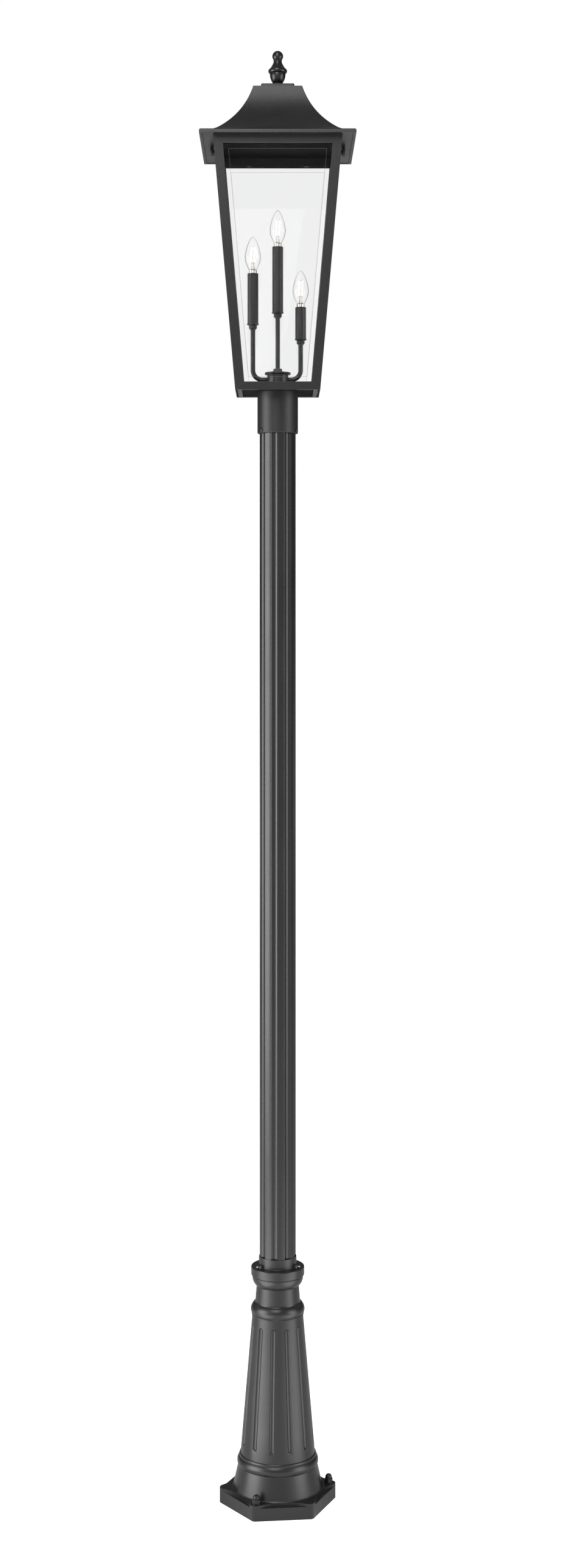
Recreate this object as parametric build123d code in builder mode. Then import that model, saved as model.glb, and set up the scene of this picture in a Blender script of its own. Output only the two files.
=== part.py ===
from build123d import *
import os
from math import atan, cos, radians, sin, sqrt

# A garden lamp post: a cast hexagonal anchor base, a fluted aluminium pole and a four-sided
# lantern with a lift-off pagoda roof over a cluster of three candle lamps.
# Millimetres. Z is up, the origin is on the post's axis at ground level, and -Y is the front.
# An azimuth is counted from the front, growing towards +X.

os.makedirs("parts", exist_ok=True)

# ---------------------------------------------------------------- clearances
FIXED_GAP = 0.1  # radial room between two pieces that are fastened together
TURN_GAP = 0.15  # radial room of the pole in its sleeves
TIP_GAP = 0.3  # from a screw's tip to what it would clamp
THREAD_GAP = 0.3  # radial room of a bulb's screw shell in its socket

# ---------------------------------------------------------------- pole
POLE_LENGTH = 1902.0
POLE_RADIUS = 38.1
POLE_WALL = 6.6
FLUTE_COUNT = 8
FLUTE_CUTTER = 10.0
FLUTE_DEPTH = 3.5
FLUTE_AZIMUTH = -11.0

# ---------------------------------------------------------------- anchor base
CORNER_REACH = 30.5  # from the skirt's foot out to the plate's sharp corners
HEX_TURN = 5.9
HEX_ROUND = 9.0
PAD_HEIGHT = 31.5
STEP_DROP = 2.0
EDGE_DROP = 5.5
RECESS_HALF_CHORD = 51.0
STEP_REACH = 12.0  # how far the recess's inner arc reaches in from the plate's side
EDGE_REACH = 9.0
RIM_WALL = 9.0
POCKET_HEIGHT = 18.0
BASE_WALL = 7.0
SKIRT_FOOT_RADIUS = 94.0
SKIRT_FILLET = 1.6
SKIRT_HEIGHT = 47.5
SKIRT_TOP_RADIUS = 83.6
CONE_STEP = 2.9  # the cone's foot is this much smaller than the skirt's top
CONE_HEIGHT = 314.0
CONE_TOP_WALL = 15.55  # from the pole's sleeve bore out to the cone's top
LOWER_RING_HEIGHT = 25.0
LOWER_BEAD_HEIGHT = 6.6
LOWER_BEAD_SETBACK = 2.6
LOWER_RING_REACH = 2.0
UPPER_RING_HEIGHT = 31.0
UPPER_RING_REACH = 2.9
BEAD_HEIGHT = 3.4
BEAD_REACH = 1.3
COVE_HEIGHT = 6.0
COVE_HOLLOW = 1.5
QUIRK = 0.4
QUIRK_REACH = 4.1
RING_ROOT = 4.5  # how far the turned rings are let into the casting's wall
NECK_HEIGHT = 31.0
NECK_FOOT_WALL = 9.05
NECK_TOP_WALL = 6.45
HEAD_HEIGHT = 22.0
HEAD_WALL = 15.45
HEAD_BAND = 3.0
HEAD_STEP = 1.3
NECK_FLARE = 2.8
OVOLO_DROP = 2.0
SEAT_THICKNESS = 12.0
SEAT_SETBACK = 0.5
SEAT_FILLET = 3.5
SLOT_COUNT = 12
SLOT_AZIMUTH = -9.6
SLOT_WIDTH = 10.0
SLOT_DEPTH = 2.5
SLOT_FOOT_GAP = 20.0  # from the cone's foot up to the slots
SLOT_TOP_GAP = 29.0
BOLT_REACH = 14.5  # from the skirt's foot out to the anchor bolts
BOLT_COUNT = 3
BOLT_HOLE = 5.5
BOSS_RADIUS = 12.0

# ---------------------------------------------------------------- anchor nuts
WASHER_RADIUS = 10.0
WASHER_HOLE = 5.3
WASHER_THICKNESS = 1.6
NUT_ACROSS_FLATS = 16.0
NUT_HEX_HEIGHT = 8.0
NUT_HEIGHT = 17.4
NUT_DOME_RADIUS = 7.0
NUT_THREAD = 4.3
NUT_THREAD_DEPTH = 12.5
NUT_TURN = 20.0

# ---------------------------------------------------------------- pole collar
FLANGE_OVERHANG = 2.5
FLANGE_HEIGHT = 19.0
FLANGE_ROUND = 2.2
SLEEVE_HEIGHT = 21.0
SLEEVE_FOOT_WALL = 2.15
SLEEVE_TOP_WALL = 1.25
SLEEVE_FILLET = 1.0
LUG_LENGTH = 9.5
LUG_WIDTH = 10.0
LUG_HEIGHT = 7.0
LUG_SLOPE = 78.0
COLLAR_SCREW_AZIMUTHS = (-57.0, 63.0, 183.0)
COLLAR_SCREW_RADIUS = 2.0
COLLAR_SCREW_RISE = 3.8
COLLAR_SCREW_LENGTH = 14.1
KEY_SOCKET_RADIUS = 1.1
KEY_SOCKET_DEPTH = 1.5

# ---------------------------------------------------------------- fitter
FITTER_WALL = 4.6
FITTER_LAP = 70.0  # how far the fitter comes down over the pole
FITTER_HEAD = 16.0  # from the pole's top to the lantern's foot
FITTER_ROUND = 2.5
FITTER_SCREW_AZIMUTHS = (-53.0, 67.0, 187.0)
FITTER_SCREW_RISE = 6.5
FITTER_SCREW_RADIUS = 2.5
SCREW_HEAD_RADIUS = 4.3
SCREW_HEAD_HEIGHT = 2.6
SCREW_SLOT_WIDTH = 1.2
SCREW_SLOT_DEPTH = 1.2
SCREW_SLOT_TURN = 35.0
SCREW_HEAD_TAPER = 18.0

# ---------------------------------------------------------------- lantern frame
FRAME_HEIGHT = 519.0
FRAME_FOOT_HALF = 85.5
FRAME_TOP_HALF = 130.25
BAR_WIDTH = 16.3
BAR_THICKNESS = 3.0
FRAME_FLANGE = 2.0
FRAME_FLANGE_JOIN = 0.8
FRAME_FLANGE_WIDTH = 8.7
FLOOR_THICKNESS = 3.0
FLOOR_EDGE_GAP = 0.5

# ---------------------------------------------------------------- glass
GLASS_EDGE = 1.9
GLASS_RISE = 1.9
GLASS_LAP = 3.0
BEVEL_WIDTH = 12.0
BEVEL_SIDE_GAP = 0.4
CLIP_SPACING = 0.55
CLIP_WIDTH = 9.0
CLIP_FOOT = 7.0
CLIP_THICKNESS = 1.0
CLIP_EDGE_GAP = 0.5
CLIP_HOLD = 2.0

# ---------------------------------------------------------------- roof
SHEET = 2.0
EAVES_OVERHANG = 30.75
LIP_DROP = 1.0
LIP_HEIGHT = 8.0
HEM_WIDTH = 6.0
ROOF_HEIGHT = 113.5
ROOF_TURN_IN = 42.0  # from the lip in to where the roof's two curves meet
ROOF_TURN_RISE = 15.0
ROOF_TOP_IN = 109.8
ROOF_SWEEP = 9.14  # how far the upper curve hangs in from its chord
SOFFIT_GAP = 0.5
SOFFIT_ROOF_GAP = 0.3
SKIRT_CLEARANCE = 1.48  # from the top rails' flange in to the soffit's skirt
SKIRT_DROP = 15.0
CAP_HALF = 35.0
CAP_HEIGHT = 9.1
CAP_ROUND = 3.0
CAP_EDGE_ROUND = 2.7

# ---------------------------------------------------------------- finial
FINIAL_FOOT_RADIUS = 12.2
FINIAL_FOOT_HEIGHT = 4.0
FINIAL_WAIST_RADIUS = 9.2
FINIAL_WAIST_HEIGHT = 4.0
FINIAL_CUP_RADIUS = 16.4
FINIAL_CUP_HEIGHT = 20.0
FINIAL_CUP_BAND = 3.5
FINIAL_RING_RADIUS = 19.9
FINIAL_RING_HEIGHT = 10.6
FINIAL_FLARE_HEIGHT = 15.37
FINIAL_NECK_RADIUS = 8.13
FINIAL_NECK_HEIGHT = 2.8
FINIAL_BEAD = 1.2
FINIAL_CUP_SWELL = 1.2
FINIAL_FLARE_HOLLOW = 0.7
FINIAL_BALL = 11.5
STUD_RADIUS = 4.0
STUD_FOOT_DROP = 16.0
STUD_IN_FINIAL = 24.0
STUD_END_ROOM = 1.0
STUD_CHAMFER = 0.8
FINIAL_NUT_FLATS = 13.0
FINIAL_NUT_HEIGHT = 8.0

# ---------------------------------------------------------------- thumb screws
THUMB_DROP = 8.8
THUMB_HEAD_RADIUS = 8.5
THUMB_HEAD_WIDTH = 7.0
THUMB_NECK_RADIUS = 5.0
THUMB_NECK_LENGTH = 4.4
THUMB_SHANK = 2.5
THUMB_RIDGES = 20
THUMB_RIDGE_DEPTH = 0.7
THUMB_RIDGE_WIDTH = 0.9
THUMB_BOSS_RADIUS = 3.9
THUMB_BOSS_LENGTH = 6.0
THUMB_FACE_GAP = 1.0

# ---------------------------------------------------------------- lamp cluster
HUB_RADIUS = 22.5
HUB_HEIGHT = 34.0
COVER_OVERHANG = 5.0
COVER_THICKNESS = 5.0
COVER_ROUND = 1.6
LOCKNUT_FLATS = 16.5
LOCKNUT_HEIGHT = 8.0
STEM_RADIUS = 4.75
TUBE_WALL = 1.0
NIPPLE_RADIUS = 5.0
NIPPLE_BORE = 3.6
NIPPLE_FOOT_DROP = 12.0
NIPPLE_NUT_FLATS = 15.0
NIPPLE_NUT_HEIGHT = 6.0
ARM_RADIUS = 5.0
ARM_DROP = 10.3  # from the hub's top down to the arms
ARM_BEND = 20.0
ARM_IN_HUB = 7.0
ARM_IN_CUP = 4.0
CUP_HEIGHT = 12.5
CUP_LIP = 1.3  # the cup's rim stands out this much from the candle
CUP_WAIST = 8.8
CUP_BEAD = 0.9
CUP_BEAD_HEIGHT = 2.6
CUP_BAND = 1.8
CUP_SWELL = 0.9
CUP_SEAT_RIM = 0.5
CANDLE_RADIUS = 11.5
CANDLE_WALL = 1.1
HOLDER_GAP = 0.8
HOLDER_HEIGHT = 26.0
HOLDER_FLOOR = 4.0
HOLDER_STRAP = 7.0
HOLDER_STRAP_THICKNESS = 1.5
HOLDER_STRAP_SETBACK = 0.4
HOLDER_DROP = 0.4

# name: (place along X, rise of the cup's foot above the hub, length of the candle sleeve)
CANDLES = {
    "centre": (0.0, 120.0, 138.5),
    "left": (-52.5, 95.5, 106.5),
    "right": (48.5, 63.5, 67.0),
}

# ---------------------------------------------------------------- bulbs
BULB_COLLAR_RADIUS = 8.5
BULB_COLLAR_WALL = 0.5
BULB_COLLAR_HEIGHT = 7.0
BULB_THREAD_RADIUS = 5.9
BULB_THREAD_LENGTH = 16.0
BULB_CONTACT_RADIUS = 2.5
BULB_CONTACT = 1.6
BULB_SHELL_BEVEL = 1.5
BULB_RADIUS = 17.2
BULB_WIDEST = 28.0
BULB_HEIGHT = 71.0
BULB_SHOULDER = 10.0  # from the bulb's tip down to where it is as wide as its neck
BULB_WALL = 0.8
FILAMENT_COUNT = 4
FILAMENT_RADIUS = 0.9
FILAMENT_CIRCLE = 5.0
FILAMENT_FOOT = 16.0
FILAMENT_TOP = 50.0
MOUNT_RADIUS = 3.2
MOUNT_HEIGHT = 8.0
MOUNT_GAP = 1.5
SUPPORT_WIRE = 0.5

# ---------------------------------------------------------------- worked out from the values above
POLE_BORE = POLE_RADIUS - POLE_WALL
POLE_SLEEVE_BORE = POLE_RADIUS + TURN_GAP
HEX_CORNER = SKIRT_FOOT_RADIUS + CORNER_REACH
HEX_SIDE = HEX_CORNER * cos(radians(30))
BOLT_RADIUS = SKIRT_FOOT_RADIUS + BOLT_REACH
SKIRT_TOP = PAD_HEIGHT + SKIRT_HEIGHT
CONE_FOOT_RADIUS = SKIRT_TOP_RADIUS - CONE_STEP
CONE_TOP_RADIUS = POLE_SLEEVE_BORE + CONE_TOP_WALL
CONE_TOP = SKIRT_TOP + CONE_HEIGHT
POLE_FOOT = CONE_TOP + UPPER_RING_HEIGHT
NECK_FOOT_RADIUS = POLE_SLEEVE_BORE + NECK_FOOT_WALL
NECK_TOP_RADIUS = POLE_SLEEVE_BORE + NECK_TOP_WALL
NECK_TOP = POLE_FOOT + NECK_HEIGHT
HEAD_RADIUS = POLE_SLEEVE_BORE + HEAD_WALL
BASE_TOP = NECK_TOP + HEAD_HEIGHT
SLEEVE_TOP_RADIUS = POLE_SLEEVE_BORE + SLEEVE_TOP_WALL
FLANGE_RADIUS = HEAD_RADIUS + FLANGE_OVERHANG
COLLAR_SEAT = BASE_TOP + FLANGE_HEIGHT
POLE_TOP = POLE_FOOT + POLE_LENGTH
FITTER_FOOT = POLE_TOP - FITTER_LAP
FITTER_RADIUS = POLE_SLEEVE_BORE + FITTER_WALL
FRAME_FOOT = POLE_TOP + FITTER_HEAD
FRAME_TOP = FRAME_FOOT + FRAME_HEIGHT
FITTER_TOP = FRAME_FOOT + FRAME_FLANGE
FLOOR_TOP = FITTER_TOP + FLOOR_THICKNESS
TAPER = (FRAME_TOP_HALF - FRAME_FOOT_HALF) / FRAME_HEIGHT
TILT = atan(TAPER)
LIP_HALF = FRAME_TOP_HALF + EAVES_OVERHANG
LIP_BOTTOM = FRAME_TOP - LIP_DROP
LIP_TOP = LIP_BOTTOM + LIP_HEIGHT
ROOF_TOP = LIP_TOP + ROOF_HEIGHT
CAP_TOP = ROOF_TOP + CAP_HEIGHT
THUMB_Z = FRAME_TOP - THUMB_DROP
HUB_TOP = FLOOR_TOP + HUB_HEIGHT
ARM_HEIGHT = HUB_TOP - ARM_DROP
CUP_RADIUS = CANDLE_RADIUS + CUP_LIP
HOLDER_RADIUS = CANDLE_RADIUS - CANDLE_WALL - HOLDER_GAP
BULB_NECK_RADIUS = BULB_COLLAR_RADIUS - BULB_COLLAR_WALL


def frame_half(height):
    """Half the lantern's outside width at a height."""
    return FRAME_FOOT_HALF + TAPER * (height - FRAME_FOOT)


def flange_hole_half(height):
    """Half the opening inside the frame's inner flange whose outer edge lies at a height."""
    return frame_half(height) - BAR_THICKNESS + FRAME_FLANGE_JOIN - FRAME_FLANGE_WIDTH


def outward_plane(azimuth, radius, height):
    """A plane that faces away from the post, with its x axis level and its y axis up."""
    out = Vector(sin(radians(azimuth)), -cos(radians(azimuth)), 0)
    level = Vector(cos(radians(azimuth)), sin(radians(azimuth)), 0)
    return Plane(origin=out * radius + Vector(0, 0, height), x_dir=level, z_dir=out)


def save(piece, label):
    """Label one finished piece and write its STEP file."""
    piece.part.label = label
    export_step(piece.part, f"parts/{label}.step")


# ================================================================ anchor base
# One hollow casting: a hexagonal plate with a scooped recess along each side, a flared skirt,
# a slotted cone between two turned rings, a neck, and a seat inside for the pole's foot.


def recess_radius(reach):
    """The arc's radius for a recess that reaches in from the middle of a side."""
    return (RECESS_HALF_CHORD**2 + reach**2) / (2 * reach)


cone_slope = (CONE_FOOT_RADIUS - CONE_TOP_RADIUS) / (CONE_TOP - SKIRT_TOP)


def cone_radius(height):
    """The cone's outside radius at a height."""
    return CONE_TOP_RADIUS + cone_slope * (CONE_TOP - height)


# a round-ended bar that cuts one slot; its axis lies outside the cone
slot_bar = (SLOT_WIDTH**2 / 4 + SLOT_DEPTH**2) / (2 * SLOT_DEPTH)
slot_foot, slot_top = SKIRT_TOP + SLOT_FOOT_GAP, CONE_TOP - SLOT_TOP_GAP
slot_middle = (slot_foot + slot_top) / 2
slot_length = (slot_top - slot_foot) * sqrt(1 + cone_slope**2)
slot_end = slot_length / 2 - SLOT_WIDTH / 2
slot_axis = Plane(
    origin=(cone_radius(slot_middle) + slot_bar - SLOT_DEPTH, 0, slot_middle),
    x_dir=(0, 1, 0),
    z_dir=(-cone_slope, 0, 1),
)
with BuildPart() as slot_cutter:
    with BuildSketch(slot_axis) as bar_end:
        Circle(slot_bar)
    extrude(amount=slot_end, both=True)
    with Locations(
        slot_axis.from_local_coords((0, 0, slot_end)),
        slot_axis.from_local_coords((0, 0, -slot_end)),
    ):
        Sphere(slot_bar)

with BuildPart() as anchor_base:
    with BuildSketch() as plate_outline:
        RegularPolygon(HEX_CORNER, 6, rotation=HEX_TURN)
        fillet(plate_outline.vertices(), HEX_ROUND)
    extrude(amount=PAD_HEIGHT)
    for reach, drop in ((STEP_REACH, STEP_DROP), (EDGE_REACH, EDGE_DROP)):
        arc = recess_radius(reach)
        with BuildSketch(Plane.XY.offset(PAD_HEIGHT - drop)) as recess:
            with PolarLocations(HEX_SIDE - reach + arc, 6, HEX_TURN + 30):
                Circle(arc)
        extrude(amount=PAD_HEIGHT, mode=Mode.SUBTRACT)
    with BuildSketch(Plane.XZ) as body_profile:
        with BuildLine() as body_line:
            foot = Polyline(
                (0, POCKET_HEIGHT),
                (SKIRT_FOOT_RADIUS, POCKET_HEIGHT),
                (SKIRT_FOOT_RADIUS + SKIRT_FILLET, PAD_HEIGHT),
                (SKIRT_FOOT_RADIUS, PAD_HEIGHT + SKIRT_FILLET),
                (SKIRT_TOP_RADIUS, SKIRT_TOP),
                (CONE_FOOT_RADIUS, SKIRT_TOP),
                (CONE_TOP_RADIUS, CONE_TOP),
                (NECK_FOOT_RADIUS, POLE_FOOT),
                (NECK_TOP_RADIUS, NECK_TOP),
                (NECK_TOP_RADIUS + NECK_FLARE, NECK_TOP + NECK_FLARE),
            )
            ovolo = ThreePointArc(
                foot @ 1,
                (HEAD_RADIUS - OVOLO_DROP, (NECK_TOP + BASE_TOP) / 2 - OVOLO_DROP),
                (HEAD_RADIUS, BASE_TOP - HEAD_STEP - HEAD_BAND),
            )
            Polyline(
                ovolo @ 1,
                (HEAD_RADIUS, BASE_TOP - HEAD_STEP),
                (HEAD_RADIUS - HEAD_STEP, BASE_TOP - HEAD_STEP),
                (HEAD_RADIUS - HEAD_STEP, BASE_TOP),
                (0, BASE_TOP),
                foot @ 0,
            )
        make_face()
    revolve(axis=Axis.Z)
    with PolarLocations(0, SLOT_COUNT, SLOT_AZIMUTH - 90):
        add(slot_cutter.part, mode=Mode.SUBTRACT)
    with BuildSketch(Plane.XZ) as upper_ring:
        with BuildLine() as upper_ring_line:
            cove_foot = POLE_FOOT - COVE_HEIGHT
            quirk_radius = NECK_FOOT_RADIUS + QUIRK_REACH
            torus_foot = CONE_TOP + BEAD_HEIGHT
            root = NECK_FOOT_RADIUS - RING_ROOT
            cove = ThreePointArc(
                (NECK_FOOT_RADIUS, POLE_FOOT),
                (NECK_FOOT_RADIUS + COVE_HOLLOW, cove_foot + COVE_HOLLOW),
                (quirk_radius + QUIRK, cove_foot),
            )
            quirk = Line(cove @ 1, (quirk_radius, cove_foot - QUIRK))
            torus = ThreePointArc(
                quirk @ 1,
                (CONE_TOP_RADIUS + UPPER_RING_REACH, (cove_foot + torus_foot) / 2),
                (CONE_TOP_RADIUS + QUIRK, torus_foot),
            )
            bead = ThreePointArc(
                torus @ 1,
                (CONE_TOP_RADIUS + BEAD_REACH, CONE_TOP + BEAD_HEIGHT / 2),
                (CONE_TOP_RADIUS, CONE_TOP + QUIRK),
            )
            Polyline(bead @ 1, (root, CONE_TOP + QUIRK), (root, POLE_FOOT), cove @ 0)
        make_face()
    revolve(axis=Axis.Z)
    with BuildSketch(Plane.XZ) as lower_ring:
        with BuildLine() as lower_ring_line:
            ring_top = SKIRT_TOP + LOWER_RING_HEIGHT
            bead_foot = ring_top - LOWER_BEAD_HEIGHT
            root = CONE_FOOT_RADIUS - RING_ROOT
            top_bead = ThreePointArc(
                (SKIRT_TOP_RADIUS - LOWER_BEAD_SETBACK * 2, ring_top),
                (SKIRT_TOP_RADIUS - LOWER_BEAD_SETBACK + QUIRK / 2, (ring_top + bead_foot) / 2),
                (SKIRT_TOP_RADIUS - LOWER_BEAD_SETBACK, bead_foot),
            )
            big_torus = ThreePointArc(
                top_bead @ 1,
                (SKIRT_TOP_RADIUS + LOWER_RING_REACH, (bead_foot + SKIRT_TOP) / 2),
                (SKIRT_TOP_RADIUS, SKIRT_TOP),
            )
            Polyline(big_torus @ 1, (root, SKIRT_TOP), (root, ring_top), top_bead @ 0)
        make_face()
    revolve(axis=Axis.Z)
    # the hollow inside, the opening in the pole's seat and the neck's bore
    with BuildSketch(Plane.XZ) as hollow:
        with BuildLine() as hollow_line:
            seat_under = POLE_FOOT - SEAT_THICKNESS
            Polyline(
                (0, 0),
                (SKIRT_FOOT_RADIUS - BASE_WALL, 0),
                (SKIRT_FOOT_RADIUS - BASE_WALL, PAD_HEIGHT),
                (SKIRT_TOP_RADIUS - BASE_WALL, SKIRT_TOP),
                (cone_radius(ring_top) - BASE_WALL, ring_top),
                (CONE_TOP_RADIUS - BASE_WALL, CONE_TOP),
                (CONE_TOP_RADIUS - BASE_WALL - SEAT_FILLET, seat_under),
                (POLE_BORE + SEAT_SETBACK, seat_under),
                (POLE_BORE + SEAT_SETBACK, POLE_FOOT),
                (POLE_SLEEVE_BORE, POLE_FOOT),
                (POLE_SLEEVE_BORE, BASE_TOP),
                (0, BASE_TOP),
                close=True,
            )
        make_face()
    revolve(axis=Axis.Z, mode=Mode.SUBTRACT)
    # the underside is pocketed, but for its rim and a boss round each anchor bolt
    with BuildSketch() as pocket:
        RegularPolygon((HEX_SIDE - RIM_WALL) / cos(radians(30)), 6, rotation=HEX_TURN)
        with PolarLocations(BOLT_RADIUS, BOLT_COUNT, HEX_TURN):
            Circle(BOSS_RADIUS, mode=Mode.SUBTRACT)
    extrude(amount=POCKET_HEIGHT, mode=Mode.SUBTRACT)
    with BuildSketch() as bolt_holes:
        with PolarLocations(BOLT_RADIUS, BOLT_COUNT, HEX_TURN):
            Circle(BOLT_HOLE)
    extrude(amount=PAD_HEIGHT, mode=Mode.SUBTRACT)
save(anchor_base, "anchor_base")

with BuildPart() as anchor_washers:
    with BuildSketch(Plane.XY.offset(PAD_HEIGHT)) as washer_outline:
        with PolarLocations(BOLT_RADIUS, BOLT_COUNT, HEX_TURN):
            Circle(WASHER_RADIUS)
            Circle(WASHER_HOLE, mode=Mode.SUBTRACT)
    extrude(amount=WASHER_THICKNESS)
save(anchor_washers, "anchor_washers")

nut_seat = PAD_HEIGHT + WASHER_THICKNESS
with BuildPart() as one_cap_nut:
    with BuildSketch() as nut_hexagon:
        RegularPolygon(NUT_ACROSS_FLATS / 2, 6, major_radius=False, rotation=NUT_TURN)
    extrude(amount=NUT_HEX_HEIGHT)
    with BuildSketch(Plane.XZ) as dome_profile:
        with BuildLine() as dome_line:
            wall = Polyline(
                (0, NUT_HEX_HEIGHT / 2),
                (NUT_DOME_RADIUS, NUT_HEX_HEIGHT / 2),
                (NUT_DOME_RADIUS, NUT_HEIGHT - NUT_DOME_RADIUS),
            )
            dome = RadiusArc(wall @ 1, (0, NUT_HEIGHT), -NUT_DOME_RADIUS)
            Line(dome @ 1, wall @ 0)
        make_face()
    revolve(axis=Axis.Z)
    with BuildSketch() as nut_thread:
        Circle(NUT_THREAD)
    extrude(amount=NUT_THREAD_DEPTH, mode=Mode.SUBTRACT)

with BuildPart() as anchor_cap_nuts:
    with Locations((0, 0, nut_seat)):
        with PolarLocations(BOLT_RADIUS, BOLT_COUNT, HEX_TURN):
            add(one_cap_nut.part)
save(anchor_cap_nuts, "anchor_cap_nuts")

# ================================================================ pole collar
# A turned flange on the base's head with a thin sleeve round the pole's foot. Three small
# screws in lugs at the sleeve's foot pinch the pole.

screw_height = COLLAR_SEAT + COLLAR_SCREW_RISE
with BuildPart() as pole_collar:
    with BuildSketch(Plane.XZ) as collar_profile:
        with BuildLine() as collar_line:
            under = Polyline(
                (POLE_SLEEVE_BORE, BASE_TOP),
                (FLANGE_RADIUS - FLANGE_ROUND, BASE_TOP),
            )
            lower_edge = RadiusArc(
                under @ 1, (FLANGE_RADIUS, BASE_TOP + FLANGE_ROUND), -FLANGE_ROUND
            )
            side = Line(lower_edge @ 1, (FLANGE_RADIUS, COLLAR_SEAT - FLANGE_ROUND))
            upper_edge = RadiusArc(
                side @ 1, (FLANGE_RADIUS - FLANGE_ROUND, COLLAR_SEAT), -FLANGE_ROUND
            )
            Polyline(
                upper_edge @ 1,
                (POLE_SLEEVE_BORE + SLEEVE_FOOT_WALL + SLEEVE_FILLET, COLLAR_SEAT),
                (POLE_SLEEVE_BORE + SLEEVE_FOOT_WALL, COLLAR_SEAT + SLEEVE_FILLET),
                (SLEEVE_TOP_RADIUS, COLLAR_SEAT + SLEEVE_HEIGHT),
                (POLE_SLEEVE_BORE, COLLAR_SEAT + SLEEVE_HEIGHT),
                under @ 0,
            )
        make_face()
    revolve(axis=Axis.Z)
    for azimuth in COLLAR_SCREW_AZIMUTHS:
        lug_plane = outward_plane(azimuth, SLEEVE_TOP_RADIUS, COLLAR_SEAT)
        with BuildSketch(lug_plane) as lug:
            Trapezoid(LUG_WIDTH, LUG_HEIGHT, LUG_SLOPE, align=(Align.CENTER, Align.MIN))
        extrude(amount=LUG_LENGTH)
        with BuildSketch(outward_plane(azimuth, POLE_RADIUS, screw_height)) as lug_hole:
            Circle(COLLAR_SCREW_RADIUS + FIXED_GAP)
        extrude(amount=LUG_LENGTH + COLLAR_SCREW_LENGTH, mode=Mode.SUBTRACT)
save(pole_collar, "pole_collar")

with BuildPart() as collar_set_screws:
    for azimuth in COLLAR_SCREW_AZIMUTHS:
        tip = outward_plane(azimuth, POLE_RADIUS + TIP_GAP, screw_height)
        with BuildSketch(tip) as shank:
            Circle(COLLAR_SCREW_RADIUS)
        extrude(amount=COLLAR_SCREW_LENGTH)
        with BuildSketch(tip.offset(COLLAR_SCREW_LENGTH)) as key_socket:
            RegularPolygon(KEY_SOCKET_RADIUS, 6)
        extrude(amount=-KEY_SOCKET_DEPTH, mode=Mode.SUBTRACT)
save(collar_set_screws, "collar_set_screws")

# ================================================================ pole
flute_offset = POLE_RADIUS + FLUTE_CUTTER - FLUTE_DEPTH
with BuildPart() as fluted_pole:
    with BuildSketch(Plane.XY.offset(POLE_FOOT)) as pole_section:
        Circle(POLE_RADIUS)
        with PolarLocations(flute_offset, FLUTE_COUNT, FLUTE_AZIMUTH - 90):
            Circle(FLUTE_CUTTER, mode=Mode.SUBTRACT)
        Circle(POLE_BORE, mode=Mode.SUBTRACT)
    extrude(amount=POLE_LENGTH)
save(fluted_pole, "fluted_pole")

# ================================================================ fitter
# A cup that drops over the pole's top and carries the lantern.

fitter_screw_height = FITTER_FOOT + FITTER_SCREW_RISE
with BuildPart() as lantern_fitter:
    with BuildSketch(Plane.XZ) as fitter_profile:
        with BuildLine() as fitter_line:
            mouth = Line(
                (POLE_SLEEVE_BORE, FITTER_FOOT), (FITTER_RADIUS - FITTER_ROUND, FITTER_FOOT)
            )
            lip_round = RadiusArc(
                mouth @ 1, (FITTER_RADIUS, FITTER_FOOT + FITTER_ROUND), -FITTER_ROUND
            )
            Polyline(
                lip_round @ 1,
                (FITTER_RADIUS, FITTER_TOP),
                (NIPPLE_RADIUS + FIXED_GAP, FITTER_TOP),
                (NIPPLE_RADIUS + FIXED_GAP, POLE_TOP),
                (POLE_SLEEVE_BORE, POLE_TOP),
                mouth @ 0,
            )
        make_face()
    revolve(axis=Axis.Z)
    for azimuth in FITTER_SCREW_AZIMUTHS:
        with BuildSketch(outward_plane(azimuth, POLE_RADIUS, fitter_screw_height)) as screw_hole:
            Circle(FITTER_SCREW_RADIUS + FIXED_GAP)
        extrude(amount=2 * FITTER_WALL, mode=Mode.SUBTRACT)
save(lantern_fitter, "lantern_fitter")

with BuildPart() as fitter_set_screws:
    for azimuth in FITTER_SCREW_AZIMUTHS:
        tip = outward_plane(azimuth, POLE_RADIUS + TIP_GAP, fitter_screw_height)
        with BuildSketch(tip) as shank:
            Circle(FITTER_SCREW_RADIUS)
        extrude(amount=FITTER_RADIUS - POLE_RADIUS)
        head_plane = outward_plane(azimuth, FITTER_RADIUS + FIXED_GAP, fitter_screw_height)
        with BuildSketch(head_plane) as head:
            Circle(SCREW_HEAD_RADIUS)
        extrude(amount=SCREW_HEAD_HEIGHT, taper=SCREW_HEAD_TAPER)
        slot_plane = head_plane.offset(SCREW_HEAD_HEIGHT - SCREW_SLOT_DEPTH)
        with BuildSketch(slot_plane) as driver_slot:
            Rectangle(SCREW_HEAD_RADIUS * 2, SCREW_SLOT_WIDTH, rotation=SCREW_SLOT_TURN)
        extrude(amount=SCREW_SLOT_DEPTH, mode=Mode.SUBTRACT)
save(fitter_set_screws, "fitter_set_screws")

# ================================================================ lantern frame
# A tapered square frame of flat bars mitred at the corners of each side. The rails of the top
# and of the bottom are each joined to one ring by an inner flange.


def square_taper(inset, foot, top):
    """A square frustum that follows the lantern's taper, set in from its outside."""
    with BuildPart() as taper:
        for height in (foot, top):
            with BuildSketch(Plane.XY.offset(height)):
                side = 2 * (frame_half(height) - inset)
                Rectangle(side, side)
        loft()
    return taper.part


PAST = 5.0  # how far a cutting solid runs past what it cuts
sill = FRAME_FOOT + BAR_WIDTH
head_rail = FRAME_TOP - BAR_WIDTH
far = 2 * FRAME_TOP_HALF


def opening_half(height):
    """Half the window's width at a height."""
    return frame_half(height) - BAR_WIDTH


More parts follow.
